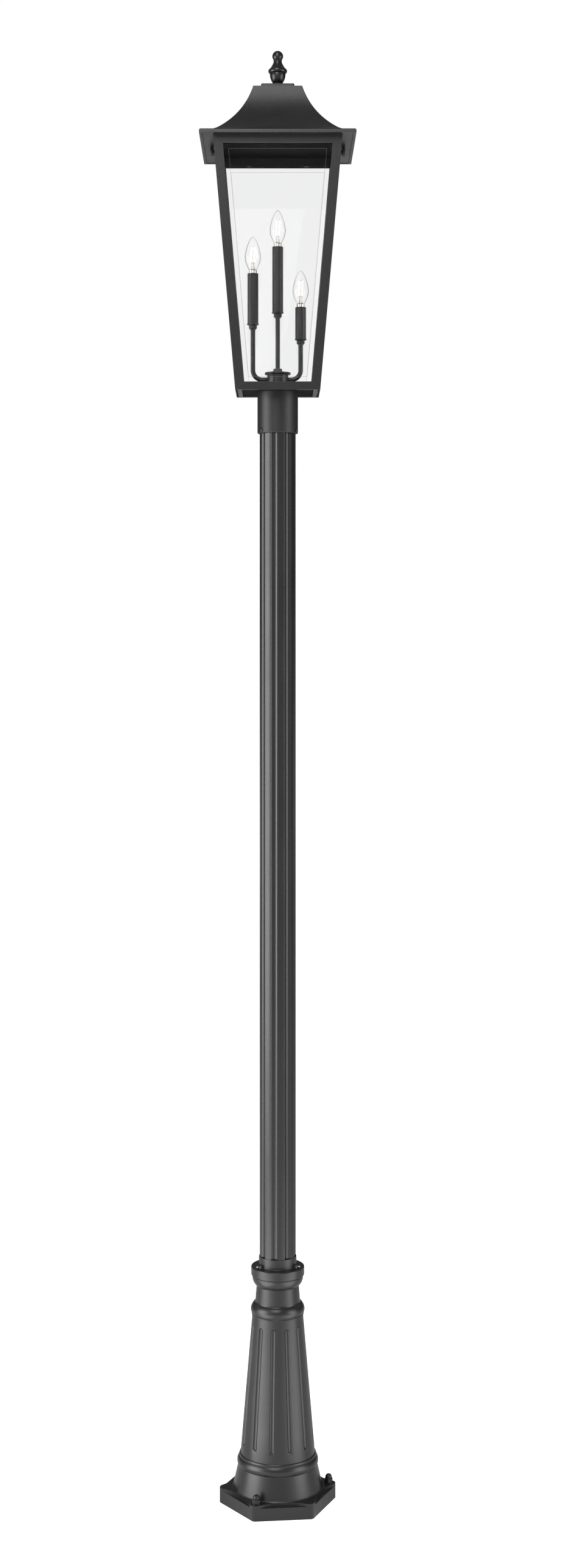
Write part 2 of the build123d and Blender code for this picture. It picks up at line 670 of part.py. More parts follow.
with BuildPart() as frame_blank:
    add(square_taper(0, FRAME_FOOT, FRAME_TOP))
    add(square_taper(BAR_THICKNESS, FRAME_FOOT - PAST, FRAME_TOP + PAST), mode=Mode.SUBTRACT)
    for turn in (Plane.XZ, Plane.YZ):
        with BuildSketch(turn) as window:
            with BuildLine():
                Polyline(
                    (-opening_half(sill), sill),
                    (opening_half(sill), sill),
                    (opening_half(head_rail), head_rail),
                    (-opening_half(head_rail), head_rail),
                    close=True,
                )
            make_face()
        extrude(amount=far, both=True, mode=Mode.SUBTRACT)


def mitre_zone(edge_height, bar_height):
    """The four-sided zone that holds one ring of rails, up to the mitres at the corners."""
    outer, inner = frame_half(edge_height), opening_half(bar_height)
    run = (outer - inner) / (edge_height - bar_height)
    past = edge_height + 0.5 * (edge_height - bar_height)
    with BuildPart() as quarter:
        with BuildSketch(Plane.XZ):
            with BuildLine():
                Polyline(
                    (inner, bar_height),
                    (inner + run * (past - bar_height), past),
                    (-inner - run * (past - bar_height), past),
                    (-inner, bar_height),
                    close=True,
                )
            make_face()
        extrude(amount=far)
        with BuildSketch(Plane.XY.offset(FRAME_FOOT - BAR_WIDTH)):
            with BuildLine():
                Polyline((0, 0), (-far, -far), (far, -far), close=True)
            make_face()
        extrude(amount=FRAME_HEIGHT + 2 * BAR_WIDTH, mode=Mode.INTERSECT)
    with BuildPart() as zone:
        for turn in range(4):
            add(quarter.part, rotation=(0, 0, 90 * turn))
    return zone.part


def flange_ring(foot, edge_height):
    """A flat square ring that ties the rails together inside."""
    hole = 2 * flange_hole_half(edge_height)
    side = hole + 2 * FRAME_FLANGE_WIDTH
    with BuildPart() as ring:
        with BuildSketch(Plane.XY.offset(foot)):
            Rectangle(side, side)
            Rectangle(hole, hole, mode=Mode.SUBTRACT)
        extrude(amount=FRAME_FLANGE)
    return ring.part


top_zone = mitre_zone(FRAME_TOP, head_rail)
bottom_zone = mitre_zone(FRAME_FOOT, sill)
thumb_wall = frame_half(THUMB_Z) - BAR_THICKNESS

with BuildPart() as top_rails:
    add(frame_blank.part)
    add(top_zone, mode=Mode.INTERSECT)
    add(flange_ring(FRAME_TOP - FRAME_FLANGE, FRAME_TOP - FRAME_FLANGE))
    for azimuth in (-90, 90):
        # a threaded boss for a thumb screw in the middle of the left and right rails
        boss_plane = outward_plane(azimuth, thumb_wall - THUMB_BOSS_LENGTH, THUMB_Z)
        with BuildSketch(boss_plane) as boss:
            Circle(THUMB_BOSS_RADIUS)
        extrude(amount=THUMB_BOSS_LENGTH + BAR_THICKNESS / 2)
        with BuildSketch(boss_plane) as boss_hole:
            Circle(THUMB_SHANK + FIXED_GAP)
        extrude(amount=THUMB_BOSS_LENGTH + 2 * BAR_THICKNESS, mode=Mode.SUBTRACT)
save(top_rails, "top_rails")

with BuildPart() as bottom_rails:
    add(frame_blank.part)
    add(bottom_zone, mode=Mode.INTERSECT)
    add(flange_ring(FRAME_FOOT, FRAME_FOOT))
save(bottom_rails, "bottom_rails")

for name, side_x, side_y in (
    ("front_left", -1, -1),
    ("front_right", 1, -1),
    ("back_left", -1, 1),
    ("back_right", 1, 1),
):
    with BuildPart() as corner_post:
        add(frame_blank.part)
        with BuildSketch(Plane.XY.offset(FRAME_FOOT - PAST)):
            with Locations((side_x * far / 2, side_y * far / 2)):
                Rectangle(far, far)
        extrude(amount=FRAME_HEIGHT + 2 * PAST, mode=Mode.INTERSECT)
        add(top_zone, mode=Mode.SUBTRACT)
        add(bottom_zone, mode=Mode.SUBTRACT)
    save(corner_post, f"corner_post_{name}")

floor_half = frame_half(FITTER_TOP) - BAR_THICKNESS - FLOOR_EDGE_GAP
with BuildPart() as lantern_floor:
    with BuildSketch(Plane.XY.offset(FITTER_TOP)) as floor_outline:
        Rectangle(2 * floor_half, 2 * floor_half)
        Circle(NIPPLE_RADIUS + FIXED_GAP, mode=Mode.SUBTRACT)
    extrude(amount=FLOOR_THICKNESS)
save(lantern_floor, "lantern_floor")

# ================================================================ glass
# Each pane lies behind its bars. Its bevelled field stands forward into the window.


def side_plane(depth):
    """The front side's own plane, x level and y up the slope, set in by a depth."""
    face_out = Vector(0, -cos(TILT), -sin(TILT))
    foot = Vector(0, -FRAME_FOOT_HALF, FRAME_FOOT)
    return Plane(origin=foot - face_out * depth, x_dir=(1, 0, 0), z_dir=face_out)


def window_outline(grow):
    """The window's four corners in the side's plane, grown outward on every side."""
    low, high = sill - grow, head_rail + grow
    return [
        (-opening_half(low) - grow, (low - FRAME_FOOT) / cos(TILT)),
        (opening_half(low) + grow, (low - FRAME_FOOT) / cos(TILT)),
        (opening_half(high) + grow, (high - FRAME_FOOT) / cos(TILT)),
        (-opening_half(high) - grow, (high - FRAME_FOOT) / cos(TILT)),
    ]


pane_front = BAR_THICKNESS + FIXED_GAP
pane_back = pane_front + GLASS_EDGE
with BuildPart() as pane:
    with BuildSketch(side_plane(pane_back)) as pane_outline:
        with BuildLine():
            Polyline(*window_outline(GLASS_LAP), close=True)
        make_face()
    extrude(amount=GLASS_EDGE)
    with BuildSketch(side_plane(pane_front)) as bevel_foot:
        with BuildLine():
            Polyline(*window_outline(-BEVEL_SIDE_GAP), close=True)
        make_face()
    with BuildSketch(side_plane(pane_front - GLASS_RISE)) as bevel_top:
        with BuildLine():
            Polyline(*window_outline(-BEVEL_WIDTH), close=True)
        make_face()
    loft(sections=[bevel_foot.sketch, bevel_top.sketch])

for turn, name in enumerate(("front", "right", "back", "left")):
    with BuildPart() as glass_pane:
        add(pane.part, rotation=(0, 0, 90 * turn))
    save(glass_pane, f"glass_pane_{name}")

# small cranked clips on the backs of the rails hold each pane's top and bottom edge
with BuildPart() as side_clips:
    for edge, way in ((head_rail, 1), (sill, -1)):
        pane_edge = (edge + way * GLASS_LAP - FRAME_FOOT) / cos(TILT)
        foot_start = pane_edge + way * CLIP_EDGE_GAP
        places = [
            (side * CLIP_SPACING * opening_half(edge), foot_start + way * CLIP_FOOT / 2)
            for side in (-1, 1)
        ]
        with BuildSketch(side_plane(pane_back + FIXED_GAP)) as clip_foot:
            with Locations(*places):
                Rectangle(CLIP_WIDTH, CLIP_FOOT)
        extrude(amount=pane_back + FIXED_GAP - BAR_THICKNESS)
        tongue = [(x, y - way * CLIP_HOLD / 2) for x, y in places]
        with BuildSketch(side_plane(pane_back + FIXED_GAP)) as clip_tongue:
            with Locations(*tongue):
                Rectangle(CLIP_WIDTH, CLIP_FOOT + CLIP_HOLD)
        extrude(amount=-CLIP_THICKNESS)

with BuildPart() as glass_clips:
    for turn in range(4):
        add(side_clips.part, rotation=(0, 0, 90 * turn))
save(glass_clips, "glass_clips")

# ================================================================ roof
# A thin pagoda shell: the same curved outline crosses itself at right angles, so that four
# curved sides meet in crisp hips. Its edge folds down and under to a narrow hem.


def pagoda(inset):
    """The roof's solid, set in from its outside by an inset."""
    with BuildPart() as solid:
        with BuildSketch(Plane.XZ) as outline:
            with BuildLine() as half_line:
                upper = SagittaArc(
                    (LIP_HALF - ROOF_TOP_IN, ROOF_TOP),
                    (LIP_HALF - ROOF_TURN_IN, LIP_TOP + ROOF_TURN_RISE),
                    -ROOF_SWEEP,
                )
                lower = TangentArc(upper @ 1, (LIP_HALF, LIP_TOP), tangent=upper % 1)
                Polyline(
                    lower @ 1, (LIP_HALF, LIP_BOTTOM), (0, LIP_BOTTOM), (0, ROOF_TOP), upper @ 0
                )
            make_face()
            mirror(about=Plane.YZ)
            if inset:
                offset(amount=-inset, kind=Kind.INTERSECTION)
        extrude(amount=LIP_HALF + PAST, both=True)
    with BuildPart() as crossed:
        add(solid.part)
        add(solid.part, rotation=(0, 0, 90), mode=Mode.INTERSECT)
    return crossed.part


hem_half = LIP_HALF - HEM_WIDTH
with BuildPart() as roof_shell:
    add(pagoda(0))
    add(pagoda(SHEET), mode=Mode.SUBTRACT)
    with BuildSketch(Plane.XY.offset(LIP_BOTTOM)) as hem_opening:
        Rectangle(2 * hem_half, 2 * hem_half)
    extrude(amount=SHEET, mode=Mode.SUBTRACT)
    with BuildSketch(Plane.XY.offset(ROOF_TOP)) as stud_hole:
        Circle(STUD_RADIUS + FIXED_GAP)
    extrude(amount=-SHEET, mode=Mode.SUBTRACT)
save(roof_shell, "roof_shell")

soffit_half = hem_half - SOFFIT_GAP
skirt_half = flange_hole_half(FRAME_TOP - FRAME_FLANGE) - SKIRT_CLEARANCE
with BuildPart() as roof_soffit:
    with BuildSketch(Plane.XY.offset(FRAME_TOP)) as soffit_outline:
        Rectangle(2 * soffit_half, 2 * soffit_half)
        Rectangle(2 * (skirt_half - SHEET), 2 * (skirt_half - SHEET), mode=Mode.SUBTRACT)
    extrude(amount=SHEET)
    with BuildSketch(Plane.XY.offset(FRAME_TOP)) as soffit_rim:
        Rectangle(2 * soffit_half, 2 * soffit_half)
        Rectangle(2 * (soffit_half - SHEET), 2 * (soffit_half - SHEET), mode=Mode.SUBTRACT)
    extrude(amount=LIP_TOP - SHEET - SOFFIT_ROOF_GAP - FRAME_TOP)
    with BuildSketch(Plane.XY.offset(FRAME_TOP + SHEET)) as skirt_outline:
        Rectangle(2 * skirt_half, 2 * skirt_half)
        Rectangle(2 * (skirt_half - SHEET), 2 * (skirt_half - SHEET), mode=Mode.SUBTRACT)
    extrude(amount=-SKIRT_DROP - SHEET)
save(roof_soffit, "roof_soffit")

with BuildPart() as roof_cap:
    with BuildSketch(Plane.XY.offset(ROOF_TOP)) as cap_outline:
        RectangleRounded(2 * CAP_HALF, 2 * CAP_HALF, CAP_ROUND)
        Circle(STUD_RADIUS + FIXED_GAP, mode=Mode.SUBTRACT)
    extrude(amount=CAP_HEIGHT)
    cap_rim = roof_cap.faces().sort_by(Axis.Z)[-1].outer_wire().edges()
    fillet(cap_rim, CAP_EDGE_ROUND)
save(roof_cap, "roof_cap")

# ================================================================ finial
with BuildPart() as finial:
    with BuildSketch(Plane.XZ) as finial_profile:
        with BuildLine() as finial_line:
            foot_top = CAP_TOP + FINIAL_FOOT_HEIGHT
            waist_top = foot_top + FINIAL_WAIST_HEIGHT
            cup_top = waist_top + FINIAL_CUP_HEIGHT
            ring_top = cup_top + FINIAL_RING_HEIGHT
            flare_top = ring_top + FINIAL_FLARE_HEIGHT
            neck_top = flare_top + FINIAL_NECK_HEIGHT
            ball_centre = neck_top + sqrt(FINIAL_BALL**2 - FINIAL_NECK_RADIUS**2)
            foot = Polyline(
                (0, CAP_TOP),
                (FINIAL_FOOT_RADIUS, CAP_TOP),
                (FINIAL_FOOT_RADIUS, foot_top - FINIAL_NECK_HEIGHT),
            )
            bead = SagittaArc(foot @ 1, (FINIAL_FOOT_RADIUS - FINIAL_BEAD, foot_top), -FINIAL_BEAD)
            waist = ThreePointArc(
                bead @ 1,
                (FINIAL_WAIST_RADIUS, (foot_top + waist_top) / 2),
                (FINIAL_WAIST_RADIUS + FINIAL_BEAD, waist_top),
            )
            cup = SagittaArc(
                waist @ 1, (FINIAL_CUP_RADIUS, cup_top - FINIAL_CUP_BAND), -FINIAL_CUP_SWELL
            )
            band = Line(cup @ 1, (FINIAL_CUP_RADIUS, cup_top))
            ring = ThreePointArc(
                band @ 1,
                (FINIAL_RING_RADIUS, (cup_top + ring_top) / 2),
                (FINIAL_CUP_RADIUS, ring_top),
            )
            flare = SagittaArc(ring @ 1, (FINIAL_NECK_RADIUS, flare_top), FINIAL_FLARE_HOLLOW)
            collar = SagittaArc(flare @ 1, (FINIAL_NECK_RADIUS, neck_top), -FINIAL_BEAD)
            tip = (0, ball_centre + FINIAL_BALL)
            ball_side = (FINIAL_BALL, ball_centre)
            ball = ThreePointArc(collar @ 1, ball_side, tip)
            Line(ball @ 1, foot @ 0)
        make_face()
    revolve(axis=Axis.Z)
    with BuildSketch(Plane.XY.offset(CAP_TOP)) as finial_thread:
        Circle(STUD_RADIUS + FIXED_GAP)
    extrude(amount=STUD_IN_FINIAL + STUD_END_ROOM, mode=Mode.SUBTRACT)
save(finial, "finial")

stud_foot = ROOF_TOP - STUD_FOOT_DROP
with BuildPart() as finial_stud:
    with BuildSketch(Plane.XY.offset(stud_foot)) as stud_section:
        Circle(STUD_RADIUS)
    extrude(amount=CAP_TOP + STUD_IN_FINIAL - stud_foot)
    chamfer(finial_stud.edges().group_by(Axis.Z)[0], STUD_CHAMFER)
save(finial_stud, "finial_stud")

with BuildPart() as finial_nut:
    with BuildSketch(Plane.XY.offset(ROOF_TOP - SHEET)) as nut_section:
        RegularPolygon(FINIAL_NUT_FLATS / 2, 6, major_radius=False)
        Circle(STUD_RADIUS + FIXED_GAP, mode=Mode.SUBTRACT)
    extrude(amount=-FINIAL_NUT_HEIGHT)
save(finial_nut, "finial_nut")

# ================================================================ thumb screws
head_start = frame_half(THUMB_Z + THUMB_HEAD_RADIUS) + THUMB_FACE_GAP
thumb_tip = skirt_half + TIP_GAP
for azimuth, name in ((-90, "left"), (90, "right")):
    with BuildPart() as thumb_screw:
        with BuildSketch(outward_plane(azimuth, thumb_tip, THUMB_Z)) as thumb_shank:
            Circle(THUMB_SHANK)
        extrude(amount=head_start - thumb_tip)
        with BuildSketch(outward_plane(azimuth, head_start, THUMB_Z)) as thumb_neck:
            Circle(THUMB_NECK_RADIUS)
        extrude(amount=THUMB_NECK_LENGTH)
        knob = outward_plane(azimuth, head_start + THUMB_NECK_LENGTH, THUMB_Z)
        with BuildSketch(knob) as thumb_head:
            Circle(THUMB_HEAD_RADIUS)
            with PolarLocations(THUMB_HEAD_RADIUS, THUMB_RIDGES):
                Rectangle(
                    2 * THUMB_RIDGE_DEPTH, THUMB_RIDGE_WIDTH, rotation=45, mode=Mode.SUBTRACT
                )
        extrude(amount=THUMB_HEAD_WIDTH)
    save(thumb_screw, f"thumb_screw_{name}")

# ================================================================ lamp cluster
with BuildPart() as cluster_hub:
    with BuildSketch(Plane.XY.offset(FLOOR_TOP)) as hub_section:
        Circle(HUB_RADIUS)
        Circle(NIPPLE_RADIUS + FIXED_GAP, mode=Mode.SUBTRACT)
    extrude(amount=HUB_TOP - FLOOR_TOP)
    for azimuth in (-90, 90):
        arm_seat = outward_plane(azimuth, HUB_RADIUS - ARM_IN_HUB - FIXED_GAP, ARM_HEIGHT)
        with BuildSketch(arm_seat) as arm_hole:
            Circle(ARM_RADIUS + FIXED_GAP)
        extrude(amount=HUB_RADIUS, mode=Mode.SUBTRACT)
save(cluster_hub, "cluster_hub")

cover_top = HUB_TOP + COVER_THICKNESS
with BuildPart() as hub_cover:
    with BuildSketch(Plane.XY.offset(HUB_TOP)) as cover_section:
        Circle(HUB_RADIUS + COVER_OVERHANG)
        Circle(STEM_RADIUS + FIXED_GAP, mode=Mode.SUBTRACT)
    extrude(amount=COVER_THICKNESS)
    fillet(hub_cover.edges().filter_by(GeomType.CIRCLE).sort_by(SortBy.RADIUS)[-2:], COVER_ROUND)
save(hub_cover, "hub_cover")

with BuildPart() as stem_locknut:
    with BuildSketch(Plane.XY.offset(cover_top)) as locknut_section:
        RegularPolygon(LOCKNUT_FLATS / 2, 6, major_radius=False)
        Circle(STEM_RADIUS + FIXED_GAP, mode=Mode.SUBTRACT)
    extrude(amount=LOCKNUT_HEIGHT)
save(stem_locknut, "stem_locknut")

nipple_foot = POLE_TOP - NIPPLE_FOOT_DROP
with BuildPart() as wire_nipple:
    with BuildSketch(Plane.XY.offset(nipple_foot)) as nipple_section:
        Circle(NIPPLE_RADIUS)
        Circle(NIPPLE_BORE, mode=Mode.SUBTRACT)
    extrude(amount=HUB_TOP - nipple_foot)
save(wire_nipple, "wire_nipple")

with BuildPart() as nipple_nut:
    with BuildSketch(Plane.XY.offset(POLE_TOP)) as nipple_nut_section:
        RegularPolygon(NIPPLE_NUT_FLATS / 2, 6, major_radius=False)
        Circle(NIPPLE_RADIUS + FIXED_GAP, mode=Mode.SUBTRACT)
    extrude(amount=-NIPPLE_NUT_HEIGHT)
save(nipple_nut, "nipple_nut")

with BuildPart() as centre_stem:
    with BuildSketch(Plane.XY.offset(HUB_TOP)) as stem_section:
        Circle(STEM_RADIUS)
        Circle(STEM_RADIUS - TUBE_WALL, mode=Mode.SUBTRACT)
    extrude(amount=CANDLES["centre"][1] + ARM_IN_CUP)
save(centre_stem, "centre_stem")


def bent_arm(place, cup_foot):
    """A tube out of the hub's side, round one bend and up into its candle cup."""
    side = 1 if place > 0 else -1
    start = side * (HUB_RADIUS - ARM_IN_HUB)
    with BuildPart() as arm:
        with BuildLine() as route:
            run = Line((start, 0, ARM_HEIGHT), (place - side * ARM_BEND, 0, ARM_HEIGHT))
            bend = TangentArc(run @ 1, (place, 0, ARM_HEIGHT + ARM_BEND), tangent=run % 1)
            Line(bend @ 1, (place, 0, cup_foot + ARM_IN_CUP))
        with BuildSketch(Plane(origin=run @ 0, z_dir=run % 0)) as arm_section:
            Circle(ARM_RADIUS)
            Circle(ARM_RADIUS - TUBE_WALL, mode=Mode.SUBTRACT)
        sweep()
    return arm


def candle_cup(place, cup_foot, tube_radius):
    """A small turned cup with a bead at its foot and a dished rim for the candle sleeve."""
    with BuildPart() as cup:
        with BuildSketch(Plane.XZ) as cup_profile:
            with BuildLine() as cup_line:
                z = cup_foot
                waist = Polyline(
                    (0, z),
                    (CUP_WAIST, z),
                    (CUP_WAIST + CUP_BEAD, z + CUP_BEAD_HEIGHT / 2),
                    (CUP_WAIST, z + CUP_BEAD_HEIGHT),
                )
                bowl = SagittaArc(
                    waist @ 1, (CUP_RADIUS, z + CUP_HEIGHT - 2 * CUP_BAND), -CUP_SWELL
                )
                Polyline(
                    bowl @ 1,
                    (CUP_RADIUS, z + CUP_HEIGHT - CUP_BAND),
                    (CANDLE_RADIUS + CUP_SEAT_RIM, z + CUP_HEIGHT),
                    (0, z + CUP_HEIGHT),
                    waist @ 0,
                )
            make_face()
        revolve(axis=Axis.Z)
        with BuildSketch(Plane.XY.offset(cup_foot)) as tube_socket:
            Circle(tube_radius + FIXED_GAP)
        extrude(amount=ARM_IN_CUP, mode=Mode.SUBTRACT)
        with BuildSketch(Plane.XY.offset(cup_foot + ARM_IN_CUP)) as wire_hole:
            Circle(tube_radius - TUBE_WALL)
        extrude(amount=CUP_HEIGHT, mode=Mode.SUBTRACT)
    with BuildPart() as placed:
        with Locations((place, 0, 0)):
            add(cup.part)
    return placed


def candle_sleeve(place, foot, top):
    """The plain tube that stands for the candle."""
    with BuildPart() as sleeve:
        with BuildSketch(Plane.XY.offset(foot)) as sleeve_section:
            with Locations((place, 0)):
                Circle(CANDLE_RADIUS)
                Circle(CANDLE_RADIUS - CANDLE_WALL, mode=Mode.SUBTRACT)
        extrude(amount=top - foot)
    return sleeve


def lampholder(place, foot, top):
    """A screw socket inside the sleeve's top, on a flat strap that stands on the cup."""
    strap_place = HOLDER_RADIUS - HOLDER_STRAP_THICKNESS / 2 - HOLDER_STRAP_SETBACK
    body_foot = top - HOLDER_DROP - HOLDER_HEIGHT
    with BuildPart() as holder:
        with BuildSketch(Plane.XY.offset(body_foot)) as holder_section:
            with Locations((place, 0)):
                Circle(HOLDER_RADIUS)
        extrude(amount=HOLDER_HEIGHT)
        with BuildSketch(Plane.XY.offset(body_foot + HOLDER_FLOOR)) as socket:
            with Locations((place, 0)):
                Circle(BULB_THREAD_RADIUS + THREAD_GAP)
        extrude(amount=HOLDER_HEIGHT, mode=Mode.SUBTRACT)
        with BuildSketch(Plane.XY.offset(foot)) as strap:
            with Locations((place, strap_place)):
                Rectangle(HOLDER_STRAP, HOLDER_STRAP_THICKNESS)
        extrude(amount=body_foot - foot + HOLDER_FLOOR / 2)
    return holder


def bulb_base(place, seat):
    """The bulb's metal collar, screw shell and contact tip."""
    with BuildPart() as base:
        with BuildSketch(Plane.XZ) as base_profile:
            with BuildLine():
                shell_foot = seat - BULB_THREAD_LENGTH
                Polyline(
                    (0, shell_foot - BULB_CONTACT),
                    (BULB_CONTACT_RADIUS, shell_foot - BULB_CONTACT),
                    (BULB_THREAD_RADIUS - BULB_SHELL_BEVEL, shell_foot),
                    (BULB_THREAD_RADIUS, shell_foot + BULB_SHELL_BEVEL),
                    (BULB_THREAD_RADIUS, seat),
                    (BULB_COLLAR_RADIUS, seat),
                    (BULB_COLLAR_RADIUS, seat + BULB_COLLAR_HEIGHT),
                    (0, seat + BULB_COLLAR_HEIGHT),
                    close=True,
                )
            make_face()
        revolve(axis=Axis.Z)
    with BuildPart() as placed:
        with Locations((place, 0, 0)):
            add(base.part)
    return placed


def bulb_glass(place, foot):
    """A clear torpedo-shaped envelope with a thin wall."""
    with BuildPart() as envelope:
        for wall in (0, BULB_WALL):
            with BuildSketch(Plane.XZ):
                with BuildLine():
                    tip = foot + BULB_HEIGHT - 1.5 * wall
                    belly = Spline(
                        (BULB_NECK_RADIUS - wall, foot),
                        (BULB_RADIUS - wall, foot + BULB_WIDEST),
                        (BULB_NECK_RADIUS - wall, foot + BULB_HEIGHT - BULB_SHOULDER),
                        (0, tip),
                        tangents=((0.45, 1), (-1, 0.25)),
                    )
                    Polyline(belly @ 1, (0, foot), belly @ 0)
                make_face()
            revolve(axis=Axis.Z, mode=Mode.SUBTRACT if wall else Mode.ADD)
    with BuildPart() as placed:
        with Locations((place, 0, 0)):
            add(envelope.part)
    return placed


def bulb_filaments(place, foot):
    """A glass mount with its lead wires and upright filaments."""
    with BuildPart() as filaments:
        with BuildSketch(Plane.XZ) as mount_profile:
            with BuildLine():
                Polyline(
                    (0, foot),
                    (BULB_NECK_RADIUS - BULB_WALL - MOUNT_GAP, foot),
                    (MOUNT_RADIUS, foot + MOUNT_HEIGHT),
                    (MOUNT_RADIUS / 2, foot + FILAMENT_FOOT),
                    (SUPPORT_WIRE, foot + FILAMENT_FOOT + SUPPORT_WIRE),
                    (SUPPORT_WIRE, foot + FILAMENT_TOP + SUPPORT_WIRE),
                    (0, foot + FILAMENT_TOP + SUPPORT_WIRE),
                    close=True,
                )
            make_face()
        revolve(axis=Axis.Z)
        for height in (foot + FILAMENT_FOOT, foot + FILAMENT_TOP):
            with Locations((0, 0, height)):
                with PolarLocations(FILAMENT_CIRCLE / 2, FILAMENT_COUNT, 45):
                    Box(FILAMENT_CIRCLE, 2 * SUPPORT_WIRE, 2 * SUPPORT_WIRE)
        with BuildSketch(Plane.XY.offset(foot + FILAMENT_FOOT)) as rods:
            with PolarLocations(FILAMENT_CIRCLE, FILAMENT_COUNT, 45):
                RegularPolygon(FILAMENT_RADIUS, 8)
        extrude(amount=FILAMENT_TOP - FILAMENT_FOOT)
    with BuildPart() as placed:
        with Locations((place, 0, 0)):
            add(filaments.part)
    return placed


for name, (place, cup_rise, sleeve_length) in CANDLES.items():
    cup_foot = HUB_TOP + cup_rise
    cup_top = cup_foot + CUP_HEIGHT
    candle_top = cup_top + sleeve_length
    bulb_foot = candle_top + BULB_COLLAR_HEIGHT
    tube_radius = STEM_RADIUS if name == "centre" else ARM_RADIUS
    if name != "centre":
        save(bent_arm(place, cup_foot), f"arm_{name}")
    save(candle_cup(place, cup_foot, tube_radius), f"candle_cup_{name}")
    save(candle_sleeve(place, cup_top, candle_top), f"candle_sleeve_{name}")
    save(lampholder(place, cup_top, candle_top), f"lampholder_{name}")
    save(bulb_base(place, candle_top), f"bulb_base_{name}")
    save(bulb_glass(place, bulb_foot), f"bulb_glass_{name}")
    save(bulb_filaments(place, bulb_foot), f"bulb_filaments_{name}")
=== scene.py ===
# %% [markdown]
# A garden lamp post in black powder coat: a cast hexagonal base, a fluted pole and a glazed
# lantern with a pagoda roof over three candle lamps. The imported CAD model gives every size
# and place. This lesson models the pieces that the eye sees again, with soft edges and true
# curves, and gives every piece its finish.

# %% the frame
from math import atan2, copysign, cos, pi, radians, sin, sqrt

import bpy
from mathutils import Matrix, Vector
from mathutils.geometry import interpolate_bezier


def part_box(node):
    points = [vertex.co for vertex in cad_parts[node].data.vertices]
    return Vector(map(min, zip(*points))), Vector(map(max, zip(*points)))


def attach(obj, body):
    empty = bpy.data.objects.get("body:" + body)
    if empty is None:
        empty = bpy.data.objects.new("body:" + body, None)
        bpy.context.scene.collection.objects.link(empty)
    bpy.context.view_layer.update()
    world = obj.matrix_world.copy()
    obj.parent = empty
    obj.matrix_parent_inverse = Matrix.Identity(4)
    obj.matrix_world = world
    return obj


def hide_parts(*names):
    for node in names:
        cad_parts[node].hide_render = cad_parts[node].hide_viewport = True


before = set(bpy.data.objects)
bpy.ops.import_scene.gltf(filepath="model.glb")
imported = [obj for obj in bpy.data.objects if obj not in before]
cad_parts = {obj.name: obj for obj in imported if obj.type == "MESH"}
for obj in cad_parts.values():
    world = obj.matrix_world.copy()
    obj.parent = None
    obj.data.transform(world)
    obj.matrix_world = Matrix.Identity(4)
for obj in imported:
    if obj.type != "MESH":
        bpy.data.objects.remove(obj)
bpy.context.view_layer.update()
MM = 0.001  # outlines are written in millimetres
print("CAD nodes:", len(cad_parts))

# %% [markdown]
# The camera comes first, because everything is judged through it. It stands level in front
# of the post, 4.6 m away, at the height where the photograph shows the pole's rings edge on.
# Its view is shifted down instead of tilted, so that the pole stays upright, as it does in
# a product photograph.

# %% camera
IMAGE_WIDTH, IMAGE_HEIGHT = 931, 2576
AXIS_COLUMN, HORIZON_ROW = 456, 1000  # the pixel column of the post and the row of the horizon
PIXEL = 1.289 * MM  # what one pixel covers at the post
CAMERA_DISTANCE, CAMERA_HEIGHT = 4.6, 1.886
SENSOR_WIDTH = 36.0

tripod = (0, -CAMERA_DISTANCE, CAMERA_HEIGHT)
bpy.ops.object.camera_add(location=tripod, rotation=(pi / 2, 0, 0))
camera = bpy.context.object
camera.data.sensor_width = SENSOR_WIDTH
camera.data.lens = SENSOR_WIDTH * CAMERA_DISTANCE / (IMAGE_HEIGHT * PIXEL)
camera.data.shift_x = (IMAGE_WIDTH / 2 - AXIS_COLUMN) / IMAGE_HEIGHT
camera.data.shift_y = (HORIZON_ROW - IMAGE_HEIGHT / 2) / IMAGE_HEIGHT
camera.data.clip_end = 100
bpy.context.scene.camera = camera
print("lens", round(camera.data.lens, 2), "shift", round(camera.data.shift_y, 4))

# %% [markdown]
# Most pieces here are turned or drawn along a line, so they are made from one ring. A circle
# is added, and its edges are extruded, moved and resized from ring to ring of an outline.
# That is what a lathe does, and the outline stays short and easy to read. Round stretches
# of an outline are arcs, given by how far they swell from their chord.

# %% helpers for outlines
QUARTER = 1 - sqrt(0.5)  # how far a quarter round swells from its chord, for a radius of one


def arc(start, end, swell, steps=6):
    """The points after start on an arc to end, swollen to the right of the way by a distance."""
    start, end = Vector(start), Vector(end)
    half = (end - start).length / 2
    along = (end - start).normalized()
    side = Vector((along.y, -along.x)) * copysign(1, swell)
    radius = (half**2 + swell**2) / (2 * abs(swell))
    middle = (start + end) / 2 + side * (abs(swell) - radius)
    reach = atan2(half, radius - abs(swell))
    angles = [reach * (2 * step / steps - 1) for step in range(1, steps + 1)]
    points = [middle + side * radius * cos(a) + along * radius * sin(a) for a in angles]
    return [tuple(point) for point in points[:-1]] + [tuple(end)]


def curve(start, first_handle, second_handle, end, steps):
    """The points after start on a curve to end, drawn by two handles."""
    points = interpolate_bezier(start, first_handle, second_handle, end, steps + 1)
    return [tuple(point) for point in points[1:]]


def around(radius, azimuth):
    """A point in plan at a radius and an angle in degrees from +X."""
    return radius * cos(radians(azimuth)), radius * sin(radians(azimuth))


print("quarter round:", [round(c, 3) for c in arc((0, -1), (1, 0), QUARTER, 2)[0]])

# %% helpers for modelling
JOIN = 0.002 * MM  # points that lie closer than this are one
NEAR = 0.01  # how many millimetres a point may be off the place where it is looked for


def mm(*sizes):
    """Sizes, or a place, in metres from millimetres."""
    return tuple(size * MM for size in sizes)


def only(piece):
    """Select this piece alone and make it the active one."""
    bpy.ops.object.select_all(action="DESELECT")
    piece.select_set(True)
    bpy.context.view_layer.objects.active = piece


